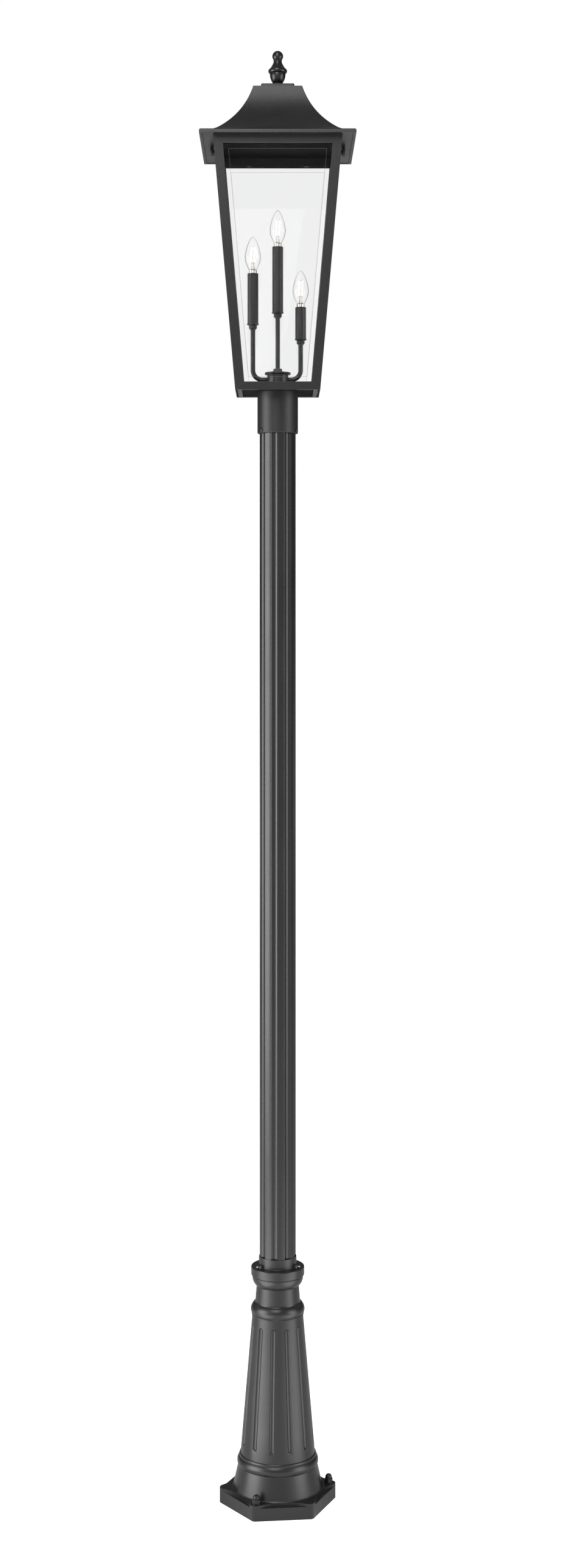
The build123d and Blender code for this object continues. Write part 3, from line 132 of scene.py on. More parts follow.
def edit_all():
    """Open the active piece for editing, with all of it selected."""
    bpy.ops.object.mode_set(mode="EDIT")
    bpy.ops.mesh.select_all(action="SELECT")


def end_edit():
    """Leave edit mode."""
    bpy.ops.object.mode_set(mode="OBJECT")


def settle():
    """Put the selected piece's place, turn and size into its mesh."""
    bpy.ops.object.transform_apply(location=True, rotation=True, scale=True)


def begin(name, primitive, **settings):
    """Add a primitive under its own name, put its place in its mesh and open it for editing."""
    bpy.ops.object.select_all(action="DESELECT")
    primitive(**settings)
    piece = bpy.context.object
    piece.name = piece.data.name = name
    settle()
    edit_all()
    return piece


def pick(piece, kind, wanted):
    """Select the points (VERT), edges (EDGE) or faces (FACE) that are wanted by their place.

    wanted gets a point's place, an edge's two ends or a face's middle, in millimetres.
    """
    bpy.ops.mesh.select_mode(type=kind)
    bpy.ops.mesh.select_all(action="DESELECT")
    end_edit()
    points = piece.data.vertices
    if kind == "VERT":
        for point in points:
            point.select = wanted(point.co / MM)
    elif kind == "EDGE":
        for line in piece.data.edges:
            line.select = wanted(*(points[end].co / MM for end in line.vertices))
    else:
        for face in piece.data.polygons:
            face.select = wanted(face.center / MM)
    bpy.ops.object.mode_set(mode="EDIT")


def extrude(*way):
    """Extrude the selected edges by a way in millimetres."""
    bpy.ops.mesh.extrude_edges_move(TRANSFORM_OT_translate={"value": mm(*way)})


def close_mesh():
    """Merge what lies together, close open ends, point the faces outwards and leave edit mode."""
    bpy.ops.mesh.select_all(action="SELECT")
    bpy.ops.mesh.remove_doubles(threshold=JOIN)
    bpy.ops.mesh.fill_holes(sides=0)
    bpy.ops.mesh.normals_make_consistent(inside=False)
    end_edit()


print("modelling helpers are ready")


# %% helpers for turned and square pieces
def draw_rings(outline, axis_x=0.0):
    """Extrude the selected ring along an outline of (radius, height) pairs in millimetres."""
    (radius, height), *rings = outline
    for next_radius, next_height in rings:
        extrude(0, 0, next_height - height)
        if next_radius < NEAR:
            bpy.ops.mesh.merge(type="CENTER")
            return
        size = next_radius / radius
        middle = mm(axis_x, 0, next_height)
        bpy.ops.transform.resize(value=(size, size, 1), center_override=middle)
        radius, height = next_radius, next_height


def turned(name, outline, sides=96, axis_x=0.0):
    """A turned piece on an upright axis. The same first and last point close its outline."""
    radius, height = outline[0]
    piece = begin(
        name,
        bpy.ops.mesh.primitive_circle_add,
        vertices=sides,
        radius=radius * MM,
        location=mm(axis_x, 0, height),
    )
    draw_rings(outline, axis_x)
    close_mesh()
    return piece


def tube(name, bore, radius, foot, top, sides=96, axis_x=0.0):
    """A round tube, or a ring, with square ends."""
    section = [(bore, foot), (radius, foot), (radius, top), (bore, top), (bore, foot)]
    return turned(name, section, sides, axis_x)


def disc(name, radius, foot, top, x=0.0, y=0.0, sides=96):
    """A plain upright cylinder, used as a cutter or as the start of a piece."""
    piece = begin(
        name,
        bpy.ops.mesh.primitive_cylinder_add,
        vertices=sides,
        radius=radius * MM,
        depth=(top - foot) * MM,
        location=mm(x, y, (foot + top) / 2),
    )
    end_edit()
    return piece


def block(name, width, depth, height, middle_height=0.0):
    """A block on the post's axis, open for editing."""
    return begin(
        name,
        bpy.ops.mesh.primitive_cube_add,
        size=1,
        location=mm(0, 0, middle_height),
        scale=mm(width, depth, height),
    )


def square_rings(name, outline):
    """A square piece on the post's axis, from pairs of (half width, height)."""
    half, height = outline[0]
    piece = begin(
        name,
        bpy.ops.mesh.primitive_circle_add,
        vertices=4,
        radius=half * sqrt(2) * MM,
        location=mm(0, 0, height),
        rotation=(0, 0, pi / 4),
    )
    draw_rings(outline)
    return piece


def square_frame(name, section):
    """A closed square ring from its section."""
    ring = square_rings(name, section + section[:1])
    close_mesh()
    return ring


def square_shell(name, outline):
    """A square sheet from its outline, with a flat top, open for editing."""
    shell = square_rings(name, outline)
    bpy.ops.mesh.edge_face_add()
    bpy.ops.mesh.select_all(action="SELECT")
    bpy.ops.mesh.normals_make_consistent(inside=False)
    return shell


print("turning helpers are ready")


# %% helpers that finish a shape
def modified(piece, kind, **settings):
    """Give a piece a modifier with its settings, and apply it."""
    only(piece)
    step = piece.modifiers.new(kind.lower(), kind)
    for label, value in settings.items():
        setattr(step, label, value)
    bpy.ops.object.modifier_apply(modifier=step.name)


def cut(piece, *cutters, operation="DIFFERENCE"):
    """Cut a piece with others, which are then removed."""
    for cutter in cutters:
        modified(piece, "BOOLEAN", operation=operation, solver="EXACT", object=cutter)
        bpy.data.objects.remove(cutter)


def soften(piece, width, segments=2, angle=30):
    """Round a piece's edges a little, as a coat does, and shade it smooth with its flats flat."""
    only(piece)
    angle = radians(angle)
    if width:
        modified(
            piece,
            "BEVEL",
            width=width * MM,
            segments=segments,
            limit_method="ANGLE",
            angle_limit=angle,
        )
    bpy.ops.object.shade_smooth_by_angle(angle=angle)
    modified(piece, "WEIGHTED_NORMAL", keep_sharp=True)


def thicken(piece, thickness):
    """Give a sheet its thickness, inwards."""
    only(piece)
    edit_all()
    bpy.ops.mesh.remove_doubles(threshold=JOIN)
    end_edit()
    modified(piece, "SOLIDIFY", thickness=thickness * MM, offset=-1, use_even_offset=True)


def copied(piece, name, turn=0.0, shift=(0, 0, 0)):
    """A copy with its own mesh, turned about the post by degrees and moved by millimetres."""
    only(piece)
    bpy.ops.object.duplicate(linked=False)
    copy = bpy.context.object
    copy.name = copy.data.name = name
    copy.rotation_euler = (0, 0, radians(turn))
    copy.location = Vector(shift) * MM
    settle()
    return copy


def joined(piece, *others):
    """One piece out of several."""
    only(piece)
    for other in others:
        other.select_set(True)
    bpy.ops.object.join()
    return piece


def stood_out(piece, azimuth, radius, height, axis_x=0.0):
    """Lay a piece that was made upright at the origin so that it points out from its axis."""
    only(piece)
    piece.rotation_euler = (pi / 2, 0, radians(azimuth))
    out = Vector((sin(radians(azimuth)), -cos(radians(azimuth)), 0))
    piece.location = out * radius * MM + Vector(mm(axis_x, 0, height))
    settle()
    return piece


def remove(*patterns):
    """Remove the patterns that copies were made from."""
    for pattern in patterns:
        bpy.data.objects.remove(pattern)


print("finishing helpers are ready")

# %% [markdown]
# The effects that several finishes share are node groups, each built once. Powder coat is
# sprayed as dry powder and baked, so it has a fine even grain. Handling and weather leave
# soft patches in the gloss, edges get a lighter grey that is partly rubbed wear and partly a
# painted highlight, and dust settles on what faces up. Each group puts out masks and
# heights, and each material decides what they do.


# %% helpers for node groups
def group(name, inputs, outputs):
    """An empty shader group with named value sockets, and its two end nodes."""
    tree = bpy.data.node_groups.new(name, "ShaderNodeTree")
    for label, value in inputs.items():
        socket = tree.interface.new_socket(label, in_out="INPUT", socket_type="NodeSocketFloat")
        socket.default_value = value
    for label in outputs:
        tree.interface.new_socket(label, in_out="OUTPUT", socket_type="NodeSocketFloat")
    return tree, tree.nodes.new("NodeGroupInput"), tree.nodes.new("NodeGroupOutput")


def feed(socket, value):
    """Link a value that comes from another node, or set a plain one."""
    if isinstance(value, bpy.types.NodeSocket):
        socket.id_data.links.new(value, socket)
    else:
        socket.default_value = value


def math(tree, operation, *values, clamp=False):
    """A maths node on values or sockets, and its result."""
    node = tree.nodes.new("ShaderNodeMath")
    node.operation = operation
    node.use_clamp = clamp
    for socket, value in zip(node.inputs, values):
        feed(socket, value)
    return node.outputs[0]


def times(tree, value, *others):
    """The product of values or sockets."""
    for other in others:
        value = math(tree, "MULTIPLY", value, other)
    return value


def spread(tree, value, low, high, to_low=0.0, to_high=1.0):
    """Spread a value from one range over another, without running past its ends."""
    node = tree.nodes.new("ShaderNodeMapRange")
    for socket, number in zip(node.inputs, (value, low, high, to_low, to_high)):
        feed(socket, number)
    return node.outputs[0]


def own_place(tree):
    """The piece's own coordinates, in metres."""
    return tree.nodes.new("ShaderNodeTexCoord").outputs["Object"]


def noise(tree, per_metre, detail, roughness=0.55):
    """Noise on the piece's own coordinates, with so many patches to the metre."""
    node = tree.nodes.new("ShaderNodeTexNoise")
    tree.links.new(own_place(tree), node.inputs["Vector"])
    feed(node.inputs["Scale"], per_metre)
    feed(node.inputs["Detail"], detail)
    feed(node.inputs["Roughness"], roughness)
    return node.outputs["Fac"]


def split(tree, vector):
    """A vector's three parts, by the names X, Y and Z."""
    node = tree.nodes.new("ShaderNodeSeparateXYZ")
    feed(node.inputs[0], vector)
    return node.outputs


print("node helpers are ready")

# %% group: powder grain
COARSE_SCALE, COARSE_SHARE = 0.3, 0.35  # a coarser grain under the fine one
FLECK_START, FLECK_REACH, FLECK_BLUR = 0.75, 1.2, 0.06

grain, start, end = group(
    "powder_grain", {"Grains per metre": 900.0, "Fleck share": 0.1}, ["Height", "Fleck"]
)
grains = start.outputs["Grains per metre"]
fine = noise(grain, grains, 2.0)
coarse = noise(grain, times(grain, grains, COARSE_SCALE), 2.0)
fine_part = times(grain, fine, 1 - COARSE_SHARE)
coarse_part = times(grain, coarse, COARSE_SHARE)
feed(end.inputs["Height"], math(grain, "ADD", fine_part, coarse_part))
fleck_reach = times(grain, start.outputs["Fleck share"], FLECK_REACH)
fleck_edge = math(grain, "SUBTRACT", FLECK_START, fleck_reach)
fleck_full = math(grain, "ADD", fleck_edge, FLECK_BLUR)
feed(end.inputs["Fleck"], spread(grain, fine, fleck_edge, fleck_full))
print("group:", grain.name)

# %% groups: gloss, wear and dust
patches, start, end = group("gloss_patches", {"Patches per metre": 9.0}, ["Patch"])
cloud = noise(patches, start.outputs["Patches per metre"], 4.0)
feed(end.inputs["Patch"], spread(patches, cloud, 0.3, 0.7))

# Edge grey: where the rounded normal bends away, edges get a lighter grey, partly rubbed wear and
# partly a painted highlight along them.
wear_and_highlight, start, end = group("edge_wear_and_highlight", {"Width": 0.0015, "Strength": 0.6}, ["Wear"])
rounded = wear_and_highlight.nodes.new("ShaderNodeBevel")
rounded.samples = 4
feed(rounded.inputs["Radius"], start.outputs["Width"])
surface = wear_and_highlight.nodes.new("ShaderNodeNewGeometry")
facing = wear_and_highlight.nodes.new("ShaderNodeVectorMath")
facing.operation = "DOT_PRODUCT"
feed(facing.inputs[0], rounded.outputs["Normal"])
feed(facing.inputs[1], surface.outputs["Normal"])
bend = math(wear_and_highlight, "SUBTRACT", 1.0, facing.outputs["Value"])
edge_patches = spread(wear_and_highlight, noise(wear_and_highlight, 60.0, 4.0), 0.35, 0.75)
on_edges = spread(wear_and_highlight, bend, 0.01, 0.18)
feed(end.inputs["Wear"], times(wear_and_highlight, on_edges, edge_patches, start.outputs["Strength"]))

dust, start, end = group("settled_dust", {"Amount": 0.3}, ["Dust"])
surface = dust.nodes.new("ShaderNodeNewGeometry")
upward = spread(dust, split(dust, surface.outputs["Normal"])["Z"], 0.35, 1.0)
cloud = spread(dust, noise(dust, 40.0, 5.0), 0.25, 0.8)
feed(end.inputs["Dust"], times(dust, upward, cloud, start.outputs["Amount"]))
print("groups:", [tree.name for tree in bpy.data.node_groups])


# %% helpers for materials
def material(name, color, roughness, metallic=0.0, **sockets):
    """A new material with its Principled shader, whose plain values are set on its own sockets."""
    made = bpy.data.materials.new(name)
    made.use_nodes = True
    shader = made.node_tree.nodes["Principled BSDF"]
    shader.inputs["Base Color"].default_value = (*color, 1)
    shader.inputs["Roughness"].default_value = roughness
    shader.inputs["Metallic"].default_value = metallic
    for label, value in sockets.items():
        shader.inputs[label.replace("_", " ")].default_value = value
    return made, made.node_tree, shader


def placed(tree, shared, **values):
    """A shared group, placed in a material with its own values."""
    node = tree.nodes.new("ShaderNodeGroup")
    node.node_tree = shared
    for label, value in values.items():
        node.inputs[label.replace("_", " ")].default_value = value
    return node


def tint(tree, share, first, second):
    """A colour between two, by a mask."""
    node = tree.nodes.new("ShaderNodeMix")
    node.data_type = "RGBA"
    feed(node.inputs["Factor"], share)
    for label, color in (("A", first), ("B", second)):
        socket = [s for s in node.inputs if s.name == label and s.type == "RGBA"][0]
        feed(socket, color if isinstance(color, bpy.types.NodeSocket) else (*color, 1))
    return [s for s in node.outputs if s.type == "RGBA"][0]


def bump(tree, shader, height, depth):
    """Feed a height into the shader's normal as a bump of a real depth in millimetres."""
    node = tree.nodes.new("ShaderNodeBump")
    feed(node.inputs["Height"], height)
    node.inputs["Distance"].default_value = depth * MM
    tree.links.new(node.outputs["Normal"], shader.inputs["Normal"])


print("material helpers are ready")

# %% [markdown]
# The coats: the satin powder coat of the frame and roof, the smoother stoved black of the
# hardware, and the glossy black of the finial. They are one recipe with other values: a
# nearly black base, grain in the bump, patches and grain in the roughness, pale dust on top
# and a lighter grey on the edges, partly rubbed wear and partly a painted highlight. The
# candles and their tubes are finer. The inside of the roof is a deep matt black, which
# paints in the shade that falls there. Castings shine more broadly, and their edges get more
# of the lighter grey, as a painted highlight along their edges and scoops. The drawn pole is
# smoother, so its flutes stand out, and the spun fitter under the lantern is softer.

# %% recipe of the black coats
EDGE_WEAR_AND_HIGHLIGHT_GREY, DUST_TONE = (0.11, 0.105, 0.1), (0.2, 0.19, 0.175)
FLECK_GAIN, FLECK_LIFT = 1.8, 0.01
GLOSS_SWING, DUST_ROUGHNESS = 0.05, 0.3


def black_coat(name, color, roughness, grains, depth, dust_amount, wear_and_highlight_amount, flecks, shine=0.5):
    """A black coat on metal, with grain of a depth in millimetres, patches, dust, and edges
    painted a lighter grey, partly rubbed and partly a painted highlight.
    """
    made, tree, shader = material(name, color, roughness, Specular_IOR_Level=shine)
    specks = placed(tree, grain, Grains_per_metre=grains, Fleck_share=flecks)
    gloss = placed(tree, patches)
    rub_and_highlight = placed(tree, wear_and_highlight, Strength=wear_and_highlight_amount)
    powder = placed(tree, dust, Amount=dust_amount)
    fleck_tone = tuple(c * FLECK_GAIN + FLECK_LIFT for c in color)
    coat = tint(tree, specks.outputs["Fleck"], color, fleck_tone)
    # the lighter edge grey is wear and a painted highlight in one
    coat = tint(tree, rub_and_highlight.outputs["Wear"], coat, EDGE_WEAR_AND_HIGHLIGHT_GREY)
    coat = tint(tree, powder.outputs["Dust"], coat, DUST_TONE)
    tree.links.new(coat, shader.inputs["Base Color"])
    glossy, dull = roughness - GLOSS_SWING, roughness + GLOSS_SWING
    rough = spread(tree, gloss.outputs["Patch"], 0.0, 1.0, glossy, dull)
    dusty = times(tree, powder.outputs["Dust"], DUST_ROUGHNESS)
    tree.links.new(math(tree, "ADD", rough, dusty, clamp=True), shader.inputs["Roughness"])
    bump(tree, shader, specks.outputs["Height"], depth)
    return made


print("every coat has dust of tone", DUST_TONE)

# %% black finishes
WARM_BLACK, TUBE_BLACK = (0.01, 0.0098, 0.0096), (0.009, 0.0088, 0.0086)
PLAIN_BLACK, DEEP_BLACK, GLOSS_BLACK = [(tone, tone, tone) for tone in (0.009, 0.004, 0.006)]
# the wear column also sets how strong the painted highlight along the edges is
COATS = {  # colour, roughness, grains per metre and their depth, dust, wear, flecks, shine
    "black_powder_coat": (WARM_BLACK, 0.33, 1200.0, 0.2, 0.05, 0.35, 0.12),
    "black_hardware": (PLAIN_BLACK, 0.3, 1500.0, 0.03, 0.06, 0.5, 0.04),
    "satin_black": (DEEP_BLACK, 0.33, 1600.0, 0.005, 0.04, 0.2, 0.0, 0.36),
    "gloss_black_finish": (GLOSS_BLACK, 0.27, 700.0, 0.02, 0.06, 0.3, 0.02),
    # a deep matt black that paints the shade falling inside the roof and the lantern
    "painted_shade_black": (DEEP_BLACK, 0.85, 900.0, 0.03, 0.0, 0.0, 0.0, 0.1),
    # castings get more edge grey, which paints bright highlights along their edges and scoops
    "cast_black_coat": (WARM_BLACK, 0.33, 1000.0, 0.15, 0.05, 0.8, 0.1, 0.58),
    "drawn_black_coat": (TUBE_BLACK, 0.27, 1000.0, 0.14, 0.05, 0.35, 0.1, 0.55),
    "spun_black_coat": (TUBE_BLACK, 0.45, 1000.0, 0.14, 0.05, 0.35, 0.1, 0.5),
}
coats = [black_coat(name, *values) for name, values in COATS.items()]
powder_black, stoved_black, satin_black, gloss_black = coats[:4]
painted_shade_black, cast_black, drawn_black, spun_black = coats[4:]
print("blacks:", [coat.name for coat in coats])

# %% [markdown]
# The bright metals: plated steel for small screws and clips, and nickel for the bulbs' caps.
# Both show fine marks of the tool that made them, which break up the reflection.

# %% bright metals
STAIN_SCALE, STAIN_DARKENING, MARK_DEPTH = 120.0, 0.82, 0.02


def bright_metal(name, color, roughness, marks_per_metre):
    """A plated metal with fine tool marks in its roughness and bump."""
    made, tree, shader = material(name, color, roughness, metallic=1.0)
    marks = noise(tree, marks_per_metre, 6.0, 0.7)
    stain = placed(tree, patches, Patches_per_metre=STAIN_SCALE)
    stained = tint(tree, stain.outputs["Patch"], color, tuple(c * STAIN_DARKENING for c in color))
    tree.links.new(stained, shader.inputs["Base Color"])
    rough = spread(tree, marks, 0.2, 0.8, roughness - 0.08, roughness + 0.12)
    tree.links.new(rough, shader.inputs["Roughness"])
    bump(tree, shader, marks, MARK_DEPTH)
    return made


plated_steel = bright_metal("steel_screws", (0.56, 0.55, 0.53), 0.28, 2500.0)
nickel = bright_metal("nickel_bulb_base", (0.66, 0.62, 0.56), 0.2, 1800.0)
print("metals:", plated_steel.name, nickel.name)

# %% [markdown]
# Glass is one clear shader with a thin film of dust and fingerprints in its roughness. Light
# that only casts shadows passes it, because real panes hardly darken what stands behind
# them: the alpha falls for shadow rays alone. The panes and bulbs are thin, so they get a
# low density, which hardly bends or mirrors what is seen through them. A bulb's colour is
# painted dark at its rim, where the glass is seen edge on, as painted shade. The bevels'
# edges get a thin grey line of painted shade.

# %% glass finishes
SMEARS_PER_METRE = 14.0


def clear_glass(name, color, smear, shadow_share, density=1.45):
    """Clear glass, with smears in its roughness, that lets most light through."""
    made, tree, shader = material(name, color, 0.02, Transmission_Weight=1.0, IOR=density)
    smears = placed(tree, patches, Patches_per_metre=SMEARS_PER_METRE).outputs["Patch"]
    tree.links.new(spread(tree, smears, 0.2, 1.0, 0.0, smear), shader.inputs["Roughness"])
    ray = tree.nodes.new("ShaderNodeLightPath")
    passing = times(tree, ray.outputs["Is Shadow Ray"], 1.0 - shadow_share)
    tree.links.new(math(tree, "SUBTRACT", 1.0, passing), shader.inputs["Alpha"])
    return made


pane_glass = clear_glass("bevelled_glass", (0.93, 0.931, 0.933), 0.02, 0.12, 1.15)
mount_glass = clear_glass("mount_glass", (0.93, 0.88, 0.85), 0.12, 0.3)

BULB_TONE, PAINTED_RIM_SHADE = (0.99, 0.99, 0.99), (0.1, 0.105, 0.11)
bulb_clear = clear_glass("clear_bulb_glass", BULB_TONE, 0.03, 0.08, 1.22)
tree = bulb_clear.node_tree
# painted shade: the bulb's colour turns dark grey towards its rim, where it is seen edge on
slant = tree.nodes.new("ShaderNodeLayerWeight")
rim = tint(tree, spread(tree, slant.outputs["Facing"], 0.5, 0.95), BULB_TONE, PAINTED_RIM_SHADE)
tree.links.new(rim, tree.nodes["Principled BSDF"].inputs["Base Color"])

# painted shade: a grey ribbon on each pane's arris stands in for the dark line it shows
painted_arris_shade, tree, shader = material("painted_arris_shade", (0.15, 0.153, 0.153), 0.6)
arris_shade_tone = tint(tree, noise(tree, 300.0, 4.0), (0.1, 0.102, 0.102), (0.2, 0.203, 0.203))
tree.links.new(arris_shade_tone, shader.inputs["Base Color"])
print("glass:", pane_glass.name, bulb_clear.name, mount_glass.name, painted_arris_shade.name)

# %% [markdown]
# The lamps are lit, so the filaments glow a warm white. The lampholders are black moulded
# plastic, with the fine sink and flow marks of moulding in their gloss.

# %% filament and plastic finishes
GLOW_STRENGTH = 1.25
filament_glow, tree, shader = material("filament_cream", (0.95, 0.86, 0.66), 0.5)
beads = spread(tree, noise(tree, 900.0, 1.0), 0.35, 0.65)
warm = tint(tree, beads, (1.0, 0.9, 0.66), (1.0, 0.78, 0.42))
tree.links.new(warm, shader.inputs["Emission Color"])
shader.inputs["Emission Strength"].default_value = GLOW_STRENGTH

FLOW_DEPTH = 0.05
moulded_black, tree, shader = material("black_plastic", (0.02, 0.02, 0.021), 0.4)
flow = noise(tree, 140.0, 4.0)
tree.links.new(spread(tree, flow, 0.3, 0.7, 0.33, 0.5), shader.inputs["Roughness"])
bump(tree, shader, flow, FLOW_DEPTH)
print("also:", filament_glow.name, moulded_black.name)


# %% helper that dresses a piece
def dress(piece, body, finish, slot, *nodes):
    """Give a finished piece its material, let it ride, and put it in its nodes' place. Its slot is
    not used.
    """
    piece.data.materials.clear()
    piece.data.materials.append(finish)
    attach(piece, body)
    if nodes:
        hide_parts(*nodes)
    print(f"{piece.name}: {len(piece.data.polygons)} faces on {body}")


# %% [markdown]
# The foot of the post is one casting. Its plate is a hexagon with rounded corners, and each
# side is scooped down in two steps, so that only the corners keep their full height. A cast
# scoop is a part of a cylinder, so the plate is extruded from a six-sided circle and each
# step is cut with one large upright cylinder per side.

# %% base plate
HEX_CORNER, HEX_TURN, CORNER_ROUND = 124.5, 5.9, 9.0
PLATE_HEIGHT, PLATE_SOFT = 31.5, 1.4
SCOOPS = ((12.0, 29.5), (9.0, 26.0))  # how far each scoop reaches in, and the height of its floor
SCOOP_HALF_CHORD = 51.0
HEX_SIDE = HEX_CORNER * cos(pi / 6)
BOLT_RADIUS, BOLT_HOLE = 108.5, 5.5
HOLLOW_RADIUS = 87.0
PAST = 5  # how far a cutter stands out of what it cuts

plate = begin(
    "base_plate",
    bpy.ops.mesh.primitive_circle_add,
    vertices=6,
    radius=HEX_CORNER * MM,
    fill_type="NGON",
    rotation=(0, 0, radians(HEX_TURN + 30)),
)
corner_cut = CORNER_ROUND * sin(pi / 6) / cos(pi / 6)
bpy.ops.mesh.bevel(offset=corner_cut * MM, segments=8, affect="VERTICES")
bpy.ops.mesh.select_all(action="SELECT")
bpy.ops.mesh.extrude_region_move(TRANSFORM_OT_translate={"value": mm(0, 0, PLATE_HEIGHT)})
close_mesh()
for side in range(6):
    for reach, floor in SCOOPS:
        scoop = (SCOOP_HALF_CHORD**2 + reach**2) / (2 * reach)
        x, y = around(HEX_SIDE - reach + scoop, HEX_TURN + 30 + 60 * side)
        cut(plate, disc("scoop", scoop, floor, PLATE_HEIGHT + 2 * PAST, x, y, 160))
cut(plate, disc("hollow", HOLLOW_RADIUS, -PAST, PLATE_HEIGHT + PAST, sides=128))
bolt_places = [around(BOLT_RADIUS, HEX_TURN + 120 * corner) for corner in range(3)]
for x, y in bolt_places:
    cut(plate, disc("bolt_hole", BOLT_HOLE, -PAST, PLATE_HEIGHT + PAST, x, y, 32))
soften(plate, PLATE_SOFT, 3, 35)
dress(plate, "anchor_base", cast_black, "black_powder_coat", "anchor_base")

# %% [markdown]
# Above the plate the same casting goes on as a skirt, a heavy ring, a long cone with twelve
# slots, a smaller ring, a neck and a head that carries the collar. It is turned from one
# outline, up the outside and down the inside.

# %% base casting
SKIRT_FOOT, SKIRT_TOP, RING_TOP, CONE_TOP = 33.1, 79.0, 104.0, 393.4
POLE_FOOT, NECK_TOP, BASE_TOP = 424.0, 455.0, 477.0
CONE_FOOT_RADIUS, CONE_TOP_RADIUS = 78.4, 53.8
SLEEVE_BORE = 38.25
WELL_RADIUS, WELL_FLOOR = 32.0, 412.0  # the hole under the pole's foot

outside = [(95.6, PLATE_HEIGHT), (94.0, SKIRT_FOOT), (83.6, SKIRT_TOP)]
outside += arc(outside[-1], (81.0, 97.4), 3.3, 10)
outside += arc(outside[-1], (CONE_FOOT_RADIUS, RING_TOP), 1.4, 5)
outside += [(CONE_TOP_RADIUS, CONE_TOP)]
outside += arc(outside[-1], (54.2, 396.4), 1.1, 4)
outside += arc(outside[-1], (51.4, 417.6), 3.9, 10)
outside += [(51.8, 418.0)] + arc((51.8, 418.0), (47.3, POLE_FOOT), -1.5, 5)
outside += [(44.7, NECK_TOP), (47.5, 457.8)]
outside += arc(outside[-1], (53.7, 472.7), 1.5, 6)
outside += [(53.7, 475.7), (52.4, 475.7), (52.4, BASE_TOP)]
inside = [(SLEEVE_BORE, BASE_TOP), (SLEEVE_BORE, POLE_FOOT)]
inside += [(WELL_RADIUS, POLE_FOOT), (WELL_RADIUS, WELL_FLOOR)]
inside += [(43.3, WELL_FLOOR), (46.8, 393.0), (71.5, RING_TOP)]
inside += [(76.6, SKIRT_TOP), (HOLLOW_RADIUS, PLATE_HEIGHT)]
casting = turned("base_casting", outside + inside + outside[:1], sides=180)
print("casting:", len(outside), "points outside,", len(inside), "inside")

# %% [markdown]
# The cone's twelve slots are shallow, with round ends, a round floor and a soft lip. A mould
# is pressed with round-ended bars, and so each slot is cut with one: a sphere whose upper
# half is moved up along the cone. Wide bars that only just reach in cut the soft lips first.

# %% slots
SLOT_COUNT, SLOT_TURN = 12, -9.6
SLOT_HALF_WIDTH, SLOT_DEPTH = 5.8, 3.6
SLOT_FOOT, SLOT_TOP = 124.0, 377.0
SLOT_LIP_HALF_WIDTH, SLOT_LIP_DEPTH = 7.3, 0.7
slope = (CONE_FOOT_RADIUS - CONE_TOP_RADIUS) / (CONE_TOP - RING_TOP)
slot_middle = (SLOT_FOOT + SLOT_TOP) / 2


def slot_bars(half_width, depth):
    """Twelve round-ended bars that lean with the cone and cut slots of a width and depth."""
    bar_radius = (half_width**2 + depth**2) / (2 * depth)
    straight = SLOT_TOP - SLOT_FOOT - 2 * SLOT_HALF_WIDTH
    cutter = begin(
        "slot_bar",
        bpy.ops.mesh.primitive_uv_sphere_add,
        segments=48,
        ring_count=24,
        radius=bar_radius * MM,
    )
    bpy.ops.transform.translate(value=mm(0, 0, -straight / 2))
    pick(cutter, "VERT", lambda p: p.z > -straight / 2 + NEAR)
    bpy.ops.transform.translate(value=mm(0, 0, straight))
    end_edit()
    cutter.rotation_euler = (0, -atan2(slope, 1), 0)
    out = CONE_TOP_RADIUS + slope * (CONE_TOP - slot_middle) + bar_radius - depth
    cutter.location = mm(out, 0, slot_middle)
    settle()
    turns = [SLOT_TURN - 90 + 360 / SLOT_COUNT * slot for slot in range(SLOT_COUNT)]
    bars = [copied(cutter, "slot_bar", turn) for turn in turns]
    remove(cutter)
    return bars


for bar in slot_bars(SLOT_LIP_HALF_WIDTH, SLOT_LIP_DEPTH):
    cut(casting, bar)
cut(casting, joined(*slot_bars(SLOT_HALF_WIDTH, SLOT_DEPTH)))
soften(casting, 0)
dress(casting, "anchor_base", cast_black, "black_powder_coat", "anchor_base")

# %% [markdown]
# Three anchor bolts come up through alternate corners, each under a washer and a cap nut.
# A nut starts as a six-sided prism. Turned stock with bevelled ends gives it the round
# chamfers of a real nut, where only what both shapes share stays. The dome is turned.

# %% nuts and washers
WASHER_RADIUS, WASHER_THICKNESS = 10.0, 1.6
NUT_FLATS, NUT_HEXAGON, NUT_HEIGHT, NUT_TURN = 16.0, 8.0, 17.4, 50
DOME_RADIUS, DOME_NECK = 7.0, 0.6  # the dome, and how far its neck is drawn in
HARDWARE_SOFT = 0.3
STOCK_PLAY, CHAMFER_RISE = 0.2, 1.2  # stock past the corners, and a chamfer's rise to its reach
STEP = 0.01  # the rise that keeps two rings apart where an outline steps flat


def hexagon_nut(name, flats, foot, height, chamfer, turn):
    """A six-sided nut with round chamfers at both ends."""
    corner = flats / 2 / cos(pi / 6)
    nut = disc(name, corner, foot, foot + height, sides=6)
    nut.rotation_euler = (0, 0, radians(turn))
    only(nut)
    settle()
    face, rim, rise = corner - 2 * chamfer, corner + STOCK_PLAY, chamfer * CHAMFER_RISE
    top = foot + height
    outline = [(face, foot), (rim, foot + rise + STEP), (rim, top - rise - STEP), (face, top)]
    cut(nut, turned("stock", outline, 64), operation="INTERSECT")
    return nut


